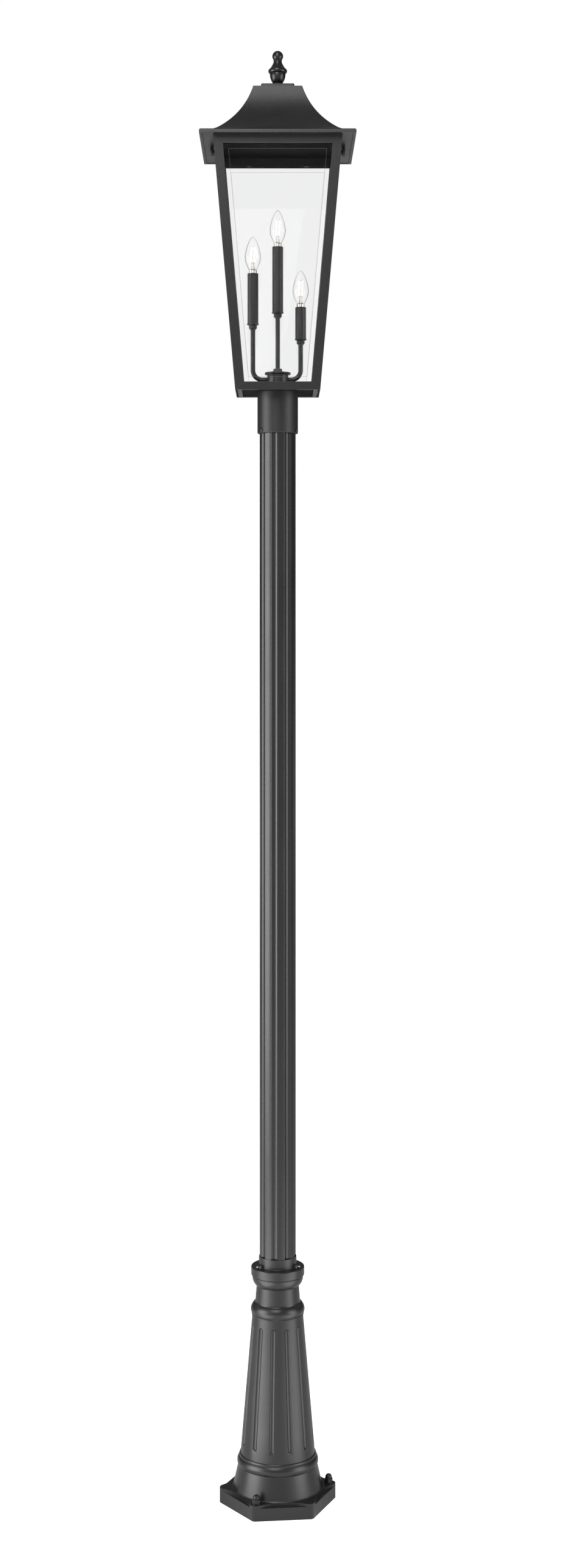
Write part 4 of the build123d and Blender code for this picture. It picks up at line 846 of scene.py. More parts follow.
washer = tube("washer", BOLT_HOLE, WASHER_RADIUS, 0, WASHER_THICKNESS, 48)
soften(washer, HARDWARE_SOFT)
hexagon = hexagon_nut("cap_nut", NUT_FLATS, 0, NUT_HEXAGON, 0.7, NUT_TURN)
soften(hexagon, HARDWARE_SOFT)
shoulder, neck = (DOME_RADIUS, NUT_HEIGHT - DOME_RADIUS), DOME_RADIUS - DOME_NECK
crown = [(neck, NUT_HEXAGON - 1), (neck, NUT_HEXAGON + 0.4), (DOME_RADIUS, NUT_HEXAGON + 1.0)]
crown += [shoulder] + arc(shoulder, (0, NUT_HEIGHT), DOME_RADIUS * QUARTER, 10)
dome = turned("dome", crown, 48)
soften(dome, 0)
cap_nut = joined(hexagon, dome)
for number, (x, y) in enumerate(bolt_places, 1):
    ring = copied(washer, f"anchor_washer_{number}", shift=(x, y, PLATE_HEIGHT))
    dress(ring, "anchor_base", stoved_black, "black_hardware", "anchor_washers")
    seat = (x, y, PLATE_HEIGHT + WASHER_THICKNESS)
    nut = copied(cap_nut, f"anchor_cap_nut_{number}", shift=seat)
    dress(nut, "anchor_base", stoved_black, "black_hardware", "anchor_cap_nuts")
remove(washer, cap_nut)

# %% [markdown]
# The pole is an extruded aluminium tube with eight round flutes. An extrusion has the same
# section all along, so a tube is cut with eight long round bars, and the ridges between the
# flutes are bevelled, because paint and wear never leave them sharp.

# %% fluted pole
POLE_RADIUS, POLE_BORE, POLE_TOP = 38.1, 31.5, 2326.0
FLUTE_COUNT, FLUTE_TURN, FLUTE_BAR, FLUTE_DEPTH = 8, -11.0, 10.0, 3.5
RIDGE_SOFT = 0.8

pole = disc("fluted_shaft", POLE_RADIUS, POLE_FOOT, POLE_TOP, sides=240)
flute_radius = POLE_RADIUS + FLUTE_BAR - FLUTE_DEPTH
bars = []
for flute in range(FLUTE_COUNT):
    x, y = around(flute_radius, FLUTE_TURN - 90 + 360 / FLUTE_COUNT * flute)
    bars.append(disc("flute", FLUTE_BAR, POLE_FOOT - PAST, POLE_TOP + PAST, x, y, 72))
cut(pole, joined(*bars))
cut(pole, disc("bore", POLE_BORE, POLE_FOOT - PAST, POLE_TOP + PAST))
soften(pole, RIDGE_SOFT, 3, 25)
dress(pole, "pole", drawn_black, "black_powder_coat", "fluted_pole")

# %% [markdown]
# A turned collar covers the joint between the base's head and the pole: a round-edged flange
# with a thin sleeve. Three lugs at its foot take small socket screws that pinch the pole.
# Lugs and screws are made once at the origin, then laid so that they point outwards.

# %% pole collar
FLANGE_RADIUS, FLANGE_ROUND, COLLAR_SEAT, SLEEVE_TOP = 56.2, 2.2, 496.0, 517.0
COLLAR_SOFT = 0.35

flange_edge, flange_swell = FLANGE_RADIUS - FLANGE_ROUND, FLANGE_ROUND * QUARTER
edge = [(SLEEVE_BORE, BASE_TOP), (flange_edge, BASE_TOP)]
edge += arc(edge[-1], (FLANGE_RADIUS, BASE_TOP + FLANGE_ROUND), flange_swell, 5)
edge += [(FLANGE_RADIUS, COLLAR_SEAT - FLANGE_ROUND)]
edge += arc(edge[-1], (flange_edge, COLLAR_SEAT), flange_swell, 5)
edge += [(41.4, COLLAR_SEAT), (40.4, 497.0), (39.5, SLEEVE_TOP), (SLEEVE_BORE, SLEEVE_TOP)]
collar = turned("collar_ring", edge + edge[:1], sides=128)
soften(collar, COLLAR_SOFT)
print("collar outline:", len(edge), "points")

# %% lugs and collar screws
COLLAR_SCREW_TURNS = (-57.0, 63.0, 183.0)
LUG_WIDTH, LUG_HEIGHT, LUG_LENGTH, LUG_TAPER = 10.0, 7.0, 9.5, 0.7
LUG_FOOT, LUG_SOFT = 39.5, 0.8  # how far from the axis a lug starts, and its soft edges
SCREW_RADIUS, SCREW_LENGTH, SCREW_HEIGHT = 2.0, 14.1, 499.8
KEY_RADIUS, KEY_DEPTH = 1.1, 1.5
SCREW_SOFT, SCREW_GAP = 0.2, 0.3  # soft edges, and the gap between a loose screw and the pole

lug = block("lug", LUG_WIDTH, LUG_HEIGHT, LUG_LENGTH)
pick(lug, "VERT", lambda p: p.y > 0)
bpy.ops.transform.resize(value=(LUG_TAPER, 1, 1), center_override=(0, 0, 0))
end_edit()
soften(lug, LUG_SOFT, 3)
lug_place = (LUG_FOOT + LUG_LENGTH / 2, COLLAR_SEAT + LUG_HEIGHT / 2)
lugs = [stood_out(copied(lug, "lug"), azimuth, *lug_place) for azimuth in COLLAR_SCREW_TURNS]
collar = joined(collar, *lugs)
dress(collar, "anchor_base", cast_black, "black_powder_coat", "pole_collar")

screw = disc("collar_screw", SCREW_RADIUS, 0, SCREW_LENGTH, sides=32)
cut(screw, disc("key", KEY_RADIUS, SCREW_LENGTH - KEY_DEPTH, SCREW_LENGTH + 1, sides=6))
soften(screw, SCREW_SOFT)
for number, azimuth in enumerate(COLLAR_SCREW_TURNS, 1):
    fitted = copied(screw, f"collar_screw_{number}")
    stood_out(fitted, azimuth, POLE_RADIUS + SCREW_GAP, SCREW_HEIGHT)
    dress(fitted, "anchor_base", plated_steel, "steel_screws", "collar_set_screws")
remove(lug, screw)

# %% [markdown]
# The fitter is a deep cup that drops over the pole's top and carries the lantern. It is
# turned with a rounded lip, like the collar. Slotted screws hold it: a domed head with a
# straight slot, cut with a thin bar.

# %% fitter
FITTER_RADIUS, FITTER_FOOT, FITTER_TOP, FITTER_ROUND = 42.85, 2256.0, 2344.0, 2.5
FITTER_SOFT, NIPPLE_BORE = 0.3, 5.1

lip = [(SLEEVE_BORE, FITTER_FOOT), (FITTER_RADIUS - FITTER_ROUND, FITTER_FOOT)]
lip += arc(lip[-1], (FITTER_RADIUS, FITTER_FOOT + FITTER_ROUND), FITTER_ROUND * QUARTER, 6)
lip += [(FITTER_RADIUS, FITTER_TOP), (NIPPLE_BORE, FITTER_TOP)]
lip += [(NIPPLE_BORE, POLE_TOP), (SLEEVE_BORE, POLE_TOP), lip[0]]
fitter = turned("fitter_cup", lip, sides=128)
soften(fitter, FITTER_SOFT)
dress(fitter, "lantern", spun_black, "black_powder_coat", "lantern_fitter")

# %% fitter screws
FITTER_SCREW_TURNS, FITTER_SCREW_HEIGHT = (-53.0, 67.0, 187.0), 2262.5
SHAFT_RADIUS, HEAD_SEAT, HEAD_RADIUS, HEAD_HEIGHT = 2.5, 4.75, 4.3, 2.6
HEAD_EDGE, HEAD_SOFT = 5.6, 0.15
DRIVER_SLOT = (12, 1.2, 1.6, 7)  # length, width, depth and middle height
DRIVER_TURN = 35

head = [(SHAFT_RADIUS, 0), (SHAFT_RADIUS, HEAD_SEAT), (HEAD_RADIUS, HEAD_SEAT + 0.05)]
head += [(HEAD_RADIUS, HEAD_EDGE)]
head += arc(head[-1], (0.5, HEAD_SEAT + HEAD_HEIGHT), 0.6, 6)
screw = turned("fitter_screw", head, sides=32)
driver_slot = block("driver_slot", *DRIVER_SLOT)
end_edit()
cut(screw, driver_slot)
soften(screw, HEAD_SOFT)
for number, azimuth in enumerate(FITTER_SCREW_TURNS, 1):
    fitted = copied(screw, f"fitter_screw_{number}", turn=DRIVER_TURN)
    stood_out(fitted, azimuth, POLE_RADIUS + SCREW_GAP, FITTER_SCREW_HEIGHT)
    dress(fitted, "lantern", stoved_black, "black_hardware", "fitter_set_screws")
remove(screw)

# %% [markdown]
# The lantern's frame is flat bar, mitred at the corners of every side and tapering outwards
# to the top. One square ring extruded upwards gives the four sloping sides. Insetting each
# side leaves four bars with true mitres round an opening, and the bars are then separated
# into posts and rails, each with its own thickness and soft edges, so that the mitres show.

# %% sizes and helpers of the frame
FRAME_FOOT, FRAME_TOP = 2342.0, 2861.0
FOOT_HALF, TOP_HALF = 85.5, 130.25
BAR_WIDTH, BAR_THICKNESS, BAR_SOFT = 16.25, 3.0, 0.5


def frame_half(height):
    """Half the lantern's width at a height."""
    return FOOT_HALF + (TOP_HALF - FOOT_HALF) * (height - FRAME_FOOT) / (FRAME_TOP - FRAME_FOOT)


def separated(piece, name, wanted):
    """Take the wanted faces off a piece as a new one."""
    pick(piece, "FACE", wanted)
    bpy.ops.mesh.separate(type="SELECTED")
    end_edit()
    part = [o for o in bpy.context.selected_objects if o != piece][0]
    part.name = part.data.name = name
    only(piece)
    bpy.ops.object.mode_set(mode="EDIT")
    return part


print("the lantern widens by", 2 * (TOP_HALF - FOOT_HALF), "mm to its top")

# %% lantern frame
cage = square_rings("cage", [(FOOT_HALF, FRAME_FOOT), (TOP_HALF, FRAME_TOP)])
bpy.ops.mesh.select_all(action="SELECT")
bpy.ops.mesh.normals_make_consistent(inside=False)
bpy.ops.mesh.inset(thickness=BAR_WIDTH * MM, use_individual=True)
bpy.ops.mesh.delete(type="FACE")

reach = BAR_WIDTH * 1.5  # every rail's middle lies nearer than this to the frame's end
top_rails = separated(cage, "top_rails_bars", lambda c: c.z > FRAME_TOP - reach)
bottom_rails = separated(cage, "bottom_rails_bars", lambda c: c.z < FRAME_FOOT + reach)
posts = {}
for side, x_way, y_way in (("front_left", -1, -1), ("front_right", 1, -1), ("back_left", -1, 1)):
    posts[side] = separated(cage, f"post_{side}", lambda c: c.x * x_way > 0 and c.y * y_way > 0)
end_edit()
cage.name = cage.data.name = "post_back_right"
posts["back_right"] = cage

for side, post in posts.items():
    thicken(post, BAR_THICKNESS)
    soften(post, BAR_SOFT)
    dress(post, "lantern", powder_black, "black_powder_coat", f"corner_post_{side}")

# %% [markdown]
# The rails are angle bar: inside the sloping bar, each ring of rails has a flat flange that
# carries the floor plate below and the roof above. A square ring makes each flange.

# %% rails
RAIL_FLANGE, RAIL_FLANGE_THICKNESS, RAIL_FLANGE_LAP = 8.7, 2.0, 0.8

rings = {"top_rails": (top_rails, FRAME_TOP - RAIL_FLANGE_THICKNESS)}
rings["bottom_rails"] = (bottom_rails, FRAME_FOOT)
for node, (rails, foot) in rings.items():
    thicken(rails, BAR_THICKNESS)
    soften(rails, BAR_SOFT)
    half = frame_half(foot) - BAR_THICKNESS + RAIL_FLANGE_LAP
    hole, top = half - RAIL_FLANGE, foot + RAIL_FLANGE_THICKNESS
    flange = square_frame("flange", [(half, foot), (half, top), (hole, top), (hole, foot)])
    dress(joined(rails, flange), "lantern", powder_black, "black_powder_coat", node)

# %% [markdown]
# The roof is folded sheet: a square pagoda whose sides sweep up in two curves, with a turned
# down lip and a narrow hem under it. Square rings follow the curve, the four hips are
# bevelled as a brake-formed fold, and a modifier gives the sheet its thickness.

# %% roof
LIP_HALF, LIP_BOTTOM, LIP_TOP = 161.0, 2860.0, 2868.0
LIP_ROUND, LIP_SWELL, LIP_CROWN = 3.5, 1.1, 0.3
HEM_HALF = 155.0
TURN_HALF, TURN_HEIGHT, EAVE_SWEEP = 119.0, 2883.0, -3.6
ROOF_TOP_HALF, ROOF_TOP, ROOF_SWEEP = 51.2, 2981.5, -9.14
SHEET, SHEET_SOFT, HIP_ROUND = 2.0, 0.5, 1.2


def on_hip(start, end):
    """Whether an edge runs along one of the square's four diagonals."""
    diagonal = all(abs(abs(p.x) - abs(p.y)) < NEAR for p in (start, end))
    return diagonal and start.x * end.x > 0 and start.y * end.y > 0


fold = [(HEM_HALF, LIP_BOTTOM), (LIP_HALF, LIP_BOTTOM), (LIP_HALF, LIP_TOP - LIP_ROUND)]
fold += arc(fold[-1], (LIP_HALF - LIP_ROUND, LIP_TOP + LIP_CROWN), LIP_SWELL, 6)
fold += arc(fold[-1], (TURN_HALF, TURN_HEIGHT), EAVE_SWEEP, 8)
fold += arc(fold[-1], (ROOF_TOP_HALF, ROOF_TOP), ROOF_SWEEP, 16)
roof = square_shell("roof_sheet", fold)
pick(roof, "EDGE", on_hip)
bpy.ops.mesh.bevel(offset=HIP_ROUND * MM, segments=4, affect="EDGES")
end_edit()
thicken(roof, SHEET)
soften(roof, SHEET_SOFT)
dress(roof, "roof", powder_black, "black_powder_coat", "roof_shell")

# %% [markdown]
# Under the roof, a flat plate closes the eave, and its turned-down throat drops into the
# frame. Both are square rings, closed all round. The throat and a second skin, just under
# the sheet, get a deep matt black that paints in the shade falling inside the roof.

# %% eave and throat
EAVE_HALF, EAVE_TOP, EAVE_INNER = 154.5, 2865.6, 131.0
THROAT_HALF, THROAT_FOOT, THROAT_GAP = 117.7, 2846.0, 0.05
EAVE_SOFT = 0.3

plate_top, upstand = FRAME_TOP + SHEET, EAVE_HALF - SHEET
section = [(EAVE_INNER, FRAME_TOP), (EAVE_HALF, FRAME_TOP), (EAVE_HALF, EAVE_TOP)]
section += [(upstand, EAVE_TOP), (upstand, plate_top), (EAVE_INNER, plate_top)]
eave = square_frame("eave_plate", section)
soften(eave, EAVE_SOFT)
dress(eave, "roof", powder_black, "black_powder_coat", "roof_soffit")

outer, inner = EAVE_INNER - THROAT_GAP, THROAT_HALF - SHEET
section = [(outer, FRAME_TOP), (outer, plate_top), (inner, plate_top)]
section += [(inner, THROAT_FOOT), (THROAT_HALF, THROAT_FOOT), (THROAT_HALF, FRAME_TOP)]
throat = square_frame("soffit_throat", section)
soften(throat, EAVE_SOFT)
# the throat gets the deep matt black that paints the shade under the roof
dress(throat, "roof", painted_shade_black, "black_powder_coat", "roof_soffit")

# %% lining of painted shade
LINING_FOOT, LINING_TURN, LINING_TOP = (152.0, 2865.9), (117.0, 2880.2), (49.0, 2978.0)
LINING_SWEEPS, LINING_THICKNESS = (-3.0, -9.0), 0.3

skin = [LINING_FOOT] + arc(LINING_FOOT, LINING_TURN, LINING_SWEEPS[0], 6)
skin += arc(LINING_TURN, LINING_TOP, LINING_SWEEPS[1], 12)
shade_lining = square_shell("roof_shade_lining", skin)
end_edit()
thicken(shade_lining, LINING_THICKNESS)
soften(shade_lining, 0)
dress(shade_lining, "roof", painted_shade_black, "black_powder_coat")

# %% [markdown]
# A small square plate closes the roof's top and seats the finial. It is a cube whose upright
# edges and top rim are bevelled in turn.

# %% roof cap
CAP_HALF, CAP_TOP, CAP_CORNER, CAP_RIM = 35.0, 2990.6, 3.0, 2.4

cap_middle = (ROOF_TOP + CAP_TOP) / 2
cap = block("cap_plate", 2 * CAP_HALF, 2 * CAP_HALF, CAP_TOP - ROOF_TOP, cap_middle)
pick(cap, "EDGE", lambda start, end: abs(start.z - end.z) > NEAR)
bpy.ops.mesh.bevel(offset=CAP_CORNER * MM, segments=5, affect="EDGES")
pick(cap, "FACE", lambda c: c.z > CAP_TOP - NEAR)
bpy.ops.mesh.region_to_loop()
bpy.ops.mesh.bevel(offset=CAP_RIM * MM, segments=5, affect="EDGES")
end_edit()
soften(cap, 0)
dress(cap, "roof", powder_black, "black_powder_coat", "roof_cap")

# %% [markdown]
# The finial is a turned drop: a foot bead, a waist, a cup with a fat ring, a flared neck with
# a small bead, and a ball. One outline and one lathe pass make all of it.

# %% finial
BALL_RADIUS, BALL_HALF_ANGLE, FINIAL_HEIGHT = 11.5, radians(67.5), 76.4

knob = [(12.2, 0.0), (12.2, 1.2)]
knob += arc(knob[-1], (11.0, 4.0), 1.2, 6)
knob += arc(knob[-1], (10.4, 8.0), -1.5, 6)
knob += arc(knob[-1], (16.4, 24.5), 1.2, 8)
knob += [(16.4, 28.0)]
knob += arc(knob[-1], (16.4, 38.6), 3.5, 12)
knob += arc(knob[-1], (8.13, 53.97), -0.7, 8)
knob += arc(knob[-1], (8.13, 56.77), 1.2, 5)
knob += arc(knob[-1], (0.0, FINIAL_HEIGHT), BALL_RADIUS * (1 - cos(BALL_HALF_ANGLE)), 16)
finial = turned("turned_finial", [(radius, CAP_TOP + height) for radius, height in knob])
soften(finial, 0)
dress(finial, "finial", gloss_black, "gloss_black_finish", "finial")

# %% [markdown]
# Two thumb screws hold the lift-off roof. Each is a shank, a neck and a knurled head. The head
# is a ring with four points to a ridge, and every fourth point is drawn in to make a groove.

# %% thumb screws
THUMB_HEIGHT, RIDGES, GROOVE = 2852.2, 20, 0.91  # a groove's radius, where the rim's is 1
SHANK_RADIUS, THUMB_NECK, THUMB_RADIUS = 2.5, 5.0, 8.5
HEAD_WIDTH, NECK_LENGTH = 7.0, 4.4
THUMB_SOFT, RIM_WIDTH = 0.12, 0.9
thumb_tip, thumb_end = [corner.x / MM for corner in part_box("thumb_screw_right")]
length = thumb_end - thumb_tip
head_start = length - HEAD_WIDTH
neck_start = head_start - NECK_LENGTH


def in_groove(p):
    """Whether a point is on the rim and is every fourth one round it."""
    step = round(atan2(p.y, p.x) / (2 * pi) * RIDGES * 4)
    return p.xy.length > THUMB_RADIUS - RIM_WIDTH and step % 4 == 0


shank = [(SHANK_RADIUS - 0.4, 0), (SHANK_RADIUS, 0.6), (SHANK_RADIUS, neck_start)]
shank += [(THUMB_NECK, neck_start + STEP), (THUMB_NECK, head_start)]
shank += [(THUMB_RADIUS - 0.8, head_start + STEP), (THUMB_RADIUS, head_start + 0.9)]
shank += [(THUMB_RADIUS, length - 1.2), (THUMB_RADIUS - 1.3, length - STEP)]
shank += [(THUMB_RADIUS - 3.6, length), (THUMB_RADIUS - 4.2, length - 0.5)]
screw = turned("thumb", shank, sides=RIDGES * 4)
bpy.ops.object.mode_set(mode="EDIT")
pick(screw, "VERT", in_groove)
bpy.ops.transform.resize(value=(GROOVE, GROOVE, 1), center_override=(0, 0, 0))
end_edit()
soften(screw, THUMB_SOFT, 1, 50)
for side, azimuth in (("left", -90), ("right", 90)):
    thumb = stood_out(copied(screw, f"thumb_{side}"), azimuth, thumb_tip, THUMB_HEIGHT)
    node = f"thumb_screw_{side}"
    dress(thumb, node, stoved_black, "black_hardware", node)
remove(screw)

# %% [markdown]
# Inside stands the lamp cluster: a drum-shaped hub with a round-edged cover, a locknut and
# three tubes that carry the candles. The hub, the cover and the nut are turned rings, and
# the middle tube is straight.

# %% hub and centre stem
FLOOR_TOP, HUB_TOP, HUB_RADIUS, HUB_SOFT = 2347.0, 2381.0, 22.5, 0.5
COVER_RADIUS, COVER_TOP, COVER_SOFT = 27.5, 2386.0, 1.5
LOCKNUT_FLATS, LOCKNUT_HEIGHT, LOCKNUT_SOFT = 16.5, 8.0, 0.4
STEM_RADIUS, CUP_LAP = 4.75, 4  # how far a tube stands up in its cup
CANDLES = {  # each lamp's place, the foot of its cup and the top of its candle
    "centre": (0.0, 2501.0, 2652.0),
    "left": (-52.5, 2476.5, 2595.5),
    "right": (48.5, 2444.5, 2524.0),
}

hub = tube("hub_drum", NIPPLE_BORE, HUB_RADIUS, FLOOR_TOP, HUB_TOP)
soften(hub, HUB_SOFT)
dress(hub, "lantern", satin_black, "black_powder_coat", "cluster_hub")
cover = tube("hub_lid", STEM_RADIUS, COVER_RADIUS, HUB_TOP, COVER_TOP)
soften(cover, COVER_SOFT, 4)
dress(cover, "lantern", satin_black, "black_powder_coat", "hub_cover")
locknut = hexagon_nut("stem_nut", LOCKNUT_FLATS, COVER_TOP, LOCKNUT_HEIGHT, 0.9, 30)
soften(locknut, LOCKNUT_SOFT)
dress(locknut, "lantern", stoved_black, "black_hardware", "stem_locknut")
stem_top = CANDLES["centre"][1] + CUP_LAP
stem = turned("stem_tube", [(STEM_RADIUS, HUB_TOP), (STEM_RADIUS, stem_top)], 48)
soften(stem, 0)
dress(stem, "lantern", satin_black, "black_powder_coat", "centre_stem")

# %% [markdown]
# Each side tube leaves the hub level and bends up, as a tube bender leaves it. A ring is
# extruded, spun through a quarter turn and extruded again.

# %% side arms
ARM_RADIUS, ARM_HEIGHT, ARM_BEND, ARM_LAP = 5.0, 2370.7, 20.0, 7

for side, way in (("left", -1), ("right", 1)):
    place, cup_foot, _ = CANDLES[side]
    start_x, bend_x = way * (HUB_RADIUS - ARM_LAP), place - way * ARM_BEND
    arm = begin(
        f"arm_tube_{side}",
        bpy.ops.mesh.primitive_circle_add,
        vertices=40,
        radius=ARM_RADIUS * MM,
        location=mm(start_x, 0, ARM_HEIGHT),
        rotation=(0, pi / 2, 0),
    )
    extrude(bend_x - start_x, 0, 0)
    bend_centre = mm(bend_x, 0, ARM_HEIGHT + ARM_BEND)
    bpy.ops.mesh.spin(steps=14, angle=way * pi / 2, center=bend_centre, axis=(0, 1, 0))
    extrude(0, 0, cup_foot + CUP_LAP - ARM_HEIGHT - ARM_BEND)
    close_mesh()
    soften(arm, 0)
    dress(arm, "lantern", satin_black, "black_powder_coat", f"arm_{side}")

# %% [markdown]
# Each tube ends in a small turned cup: a foot, a bead, a hollow and a rim. A plain sleeve
# stands in it for the candle. Both repeat, so a loop turns them for each lamp.

# %% cups and sleeves
CANDLE_RADIUS, CANDLE_BORE, CUP_HEIGHT, CANDLE_SOFT = 11.5, 10.4, 12.5, 0.35

profile = [(5.1, 0.0), (6.6, 0.0), (6.6, 1.4)]
profile += arc(profile[-1], (8.0, 6.6), 1.4, 6)
profile += arc(profile[-1], (12.2, 10.2), -0.9, 6)
profile += [(12.8, 10.6), (12.8, 11.8), (12.2, CUP_HEIGHT), (3.9, CUP_HEIGHT)]
profile += [(3.9, 4.0), (5.1, 4.0), profile[0]]
for lamp, (place, cup_foot, candle_top) in CANDLES.items():
    line = [(radius, cup_foot + height) for radius, height in profile]
    cup = turned(f"cup_{lamp}", line, 64, place)
    soften(cup, 0)
    dress(cup, "lantern", satin_black, "black_powder_coat", f"candle_cup_{lamp}")
    foot = cup_foot + CUP_HEIGHT
    sleeve = tube(f"sleeve_{lamp}", CANDLE_BORE, CANDLE_RADIUS, foot, candle_top, 64, place)
    soften(sleeve, CANDLE_SOFT, 3)
    dress(sleeve, "lantern", satin_black, "black_powder_coat", f"candle_sleeve_{lamp}")

# %% [markdown]
# The bulbs are clear candle bulbs. The envelope is blown glass, thin all over, so its outline
# is a curve that runs up the outside, and a modifier gives it its thickness. The cap is
# pressed nickel: a collar with a rolled edge and a screw shell, whose thread is a row of
# small rounds. A glass mount stands in the envelope's foot. All three are turned.

# %% outlines of the bulbs
COLLAR_HEIGHT, ENVELOPE_WALL = 7.0, 0.8
THREAD_RADIUS, THREAD_FOOT, THREAD_PITCH, THREAD_DEPTH, THREAD_TURNS = 5.9, -14.8, 2.6, 0.6, 5

cap_line = [(2.5, -17.6), (2.5, -16.4), (4.4, -16.0), (THREAD_RADIUS, THREAD_FOOT)]
for turn in range(THREAD_TURNS):
    low, high = [(THREAD_RADIUS, THREAD_FOOT + THREAD_PITCH * t) for t in (turn, turn + 1)]
    cap_line += arc(low, high, -THREAD_DEPTH, 4)
cap_line += [(THREAD_RADIUS, 0.0), (8.1, 0.0), (8.5, 0.5), (8.5, 5.8)]
cap_line += [(8.2, 6.3), (8.4, 6.7), (8.1, COLLAR_HEIGHT)]
glass_line = [(8.0, 0.0)]
glass_line += curve((8.0, 0.0), (11.5, 6.5), (17.2, 17.0), (17.2, 27.0), 12)
glass_line += curve((17.2, 27.0), (17.2, 41.0), (7.6, 71.0), (0.0, 71.0), 20)
mount_line = [(5.6, 0.3), (4.0, 3.0), (3.2, 8.0), (2.6, 12.0), (1.9, 15.0), (1.0, 16.4)]
print("bulb outlines:", len(cap_line), len(glass_line), len(mount_line), "points")

# %% [markdown]
# Four straight filaments stand in a ring, each held at both ends by a small metal ferrule on
# a wire spoke from a post in the middle. Rods are short cylinders with rounded ends, and the
# glowing strips and the wires become one piece each.

# %% helpers for the filaments
FILAMENT_RADIUS, FILAMENT_FOOT, FILAMENT_TOP, FILAMENT_CIRCLE = 1.15, 16.0, 50.0, 5.0
FERRULE_RADIUS, FERRULE_HALF, FERRULE_LAP = 0.55, 1.4, 1.5
SPOKE_RADIUS, POST_RADIUS, POST_FOOT = 0.2, 0.18, 15


def rod(name, radius, foot, top, x, y=0.0, sides=10):
    """A thin upright rod with rounded ends."""
    piece = disc(name, radius, foot, top, x, y, sides)
    soften(piece, radius * 0.5)
    return piece


def filaments(axis_x, foot):
    """The glowing rods of a bulb, and the wires that hold them, as two lists."""
    rods, wires = [], []
    low, high = foot + FILAMENT_FOOT, foot + FILAMENT_TOP
    for azimuth in (45, 135, 225, 315):
        x, y = around(FILAMENT_CIRCLE, azimuth)
        ends = (low + FERRULE_LAP, high - FERRULE_LAP)
        rods.append(rod("filament", FILAMENT_RADIUS, *ends, axis_x + x, y))
        for height in (low, high):
            ends = (height - FERRULE_HALF, height + FERRULE_HALF)
            wires.append(rod("lead", FERRULE_RADIUS, *ends, axis_x + x, y, 8))
            spoke = disc("spoke", SPOKE_RADIUS, 0, FILAMENT_CIRCLE, sides=8)
            wires.append(stood_out(spoke, azimuth + 90, 0.0, height, axis_x))
    wires.append(rod("post", POST_RADIUS, foot + POST_FOOT, high + 1, axis_x, sides=8))
    return rods, wires


print("filaments:", FILAMENT_TOP - FILAMENT_FOOT - 2 * FERRULE_LAP, "mm long")


# %% bulbs
def at_height(line, foot):
    """An outline, raised to a height."""
    return [(radius, foot + height) for radius, height in line]


for lamp, (place, _, candle_top) in CANDLES.items():
    body = f"bulb_{lamp}"
    foot = candle_top + COLLAR_HEIGHT
    metal = turned(f"bulb_cap_{lamp}", at_height(cap_line, candle_top), 64, place)
    soften(metal, 0)
    dress(metal, body, nickel, "nickel_bulb_base", f"bulb_base_{lamp}")
    glass = turned(f"bulb_envelope_{lamp}", at_height(glass_line, foot), 64, place)
    thicken(glass, ENVELOPE_WALL)
    soften(glass, 0)
    dress(glass, body, bulb_clear, "clear_bulb_glass", f"bulb_glass_{lamp}")
    mount = turned(f"bulb_mount_{lamp}", at_height(mount_line, foot), 32, place)
    soften(mount, 0)
    dress(mount, body, mount_glass, "clear_bulb_glass")
    rods, wires = filaments(place, foot)
    strips, leads = joined(*rods), joined(*wires)
    strips.name = strips.data.name = f"filament_strips_{lamp}"
    dress(strips, body, filament_glow, "filament_cream", f"bulb_filaments_{lamp}")
    leads.name = leads.data.name = f"filament_leads_{lamp}"
    dress(leads, body, plated_steel, "steel_screws")

# %% [markdown]
# The panes are bevelled glass: flat in the middle, with a wide slope ground along all four
# sides. Where slope and face meet, the polished arris catches no light and draws a thin grey
# line round the pane. A tapered sheet is inset, its middle moved forwards and then given its
# thickness, and that grey line is painted shade on a narrow ribbon laid on that edge.

# %% bevelled panes
PANE_SETBACK, PANE_LAP, PANE_LAND, PANE_THICKNESS = 5.0, 3.0, 0.4, 1.9
SLOPE_WIDTH, SLOPE_RISE = 10.0, 1.5
ARRIS_WIDTH, ARRIS_THICKNESS, ARRIS_INSET, ARRIS_LIFT = 0.35, 0.15, 0.2, 0.1
TILT = atan2(TOP_HALF - FOOT_HALF, FRAME_TOP - FRAME_FOOT)
WINDOW_SILL, WINDOW_HEAD = 2358.3, 2844.7


def trapezoid(name, margin, depth):
    """A flat tapered sheet in the front window, grown by a margin and set back from the bars."""
    sheet = begin(name, bpy.ops.mesh.primitive_plane_add, size=2 * MM, rotation=(pi / 2, 0, 0))
    for way, height in ((1, WINDOW_HEAD + margin), (-1, WINDOW_SILL - margin)):
        pick(sheet, "VERT", lambda p: p.z * way > 0)
        half = frame_half(height) - BAR_WIDTH + margin
        forward = frame_half(height) - depth / cos(TILT)
        bpy.ops.transform.resize(value=(half, 1, 1), center_override=(0, 0, 0))
        bpy.ops.transform.translate(value=mm(0, -forward, height - way))
    end_edit()
    edit_all()
    return sheet


pane = trapezoid("pane", PANE_LAP, PANE_SETBACK)
bpy.ops.mesh.inset(thickness=(PANE_LAP + PANE_LAND) * MM)
bpy.ops.mesh.inset(thickness=SLOPE_WIDTH * MM)
outwards = mm(0, -SLOPE_RISE * cos(TILT), -SLOPE_RISE * sin(TILT))
bpy.ops.transform.translate(value=outwards)
end_edit()
thicken(pane, PANE_THICKNESS)
soften(pane, 0)

arris_depth = PANE_SETBACK - SLOPE_RISE - ARRIS_LIFT
arris = trapezoid("arris", -(SLOPE_WIDTH + ARRIS_INSET), arris_depth)
bpy.ops.mesh.inset(thickness=ARRIS_WIDTH * MM)
bpy.ops.mesh.delete(type="FACE")
end_edit()
thicken(arris, ARRIS_THICKNESS)

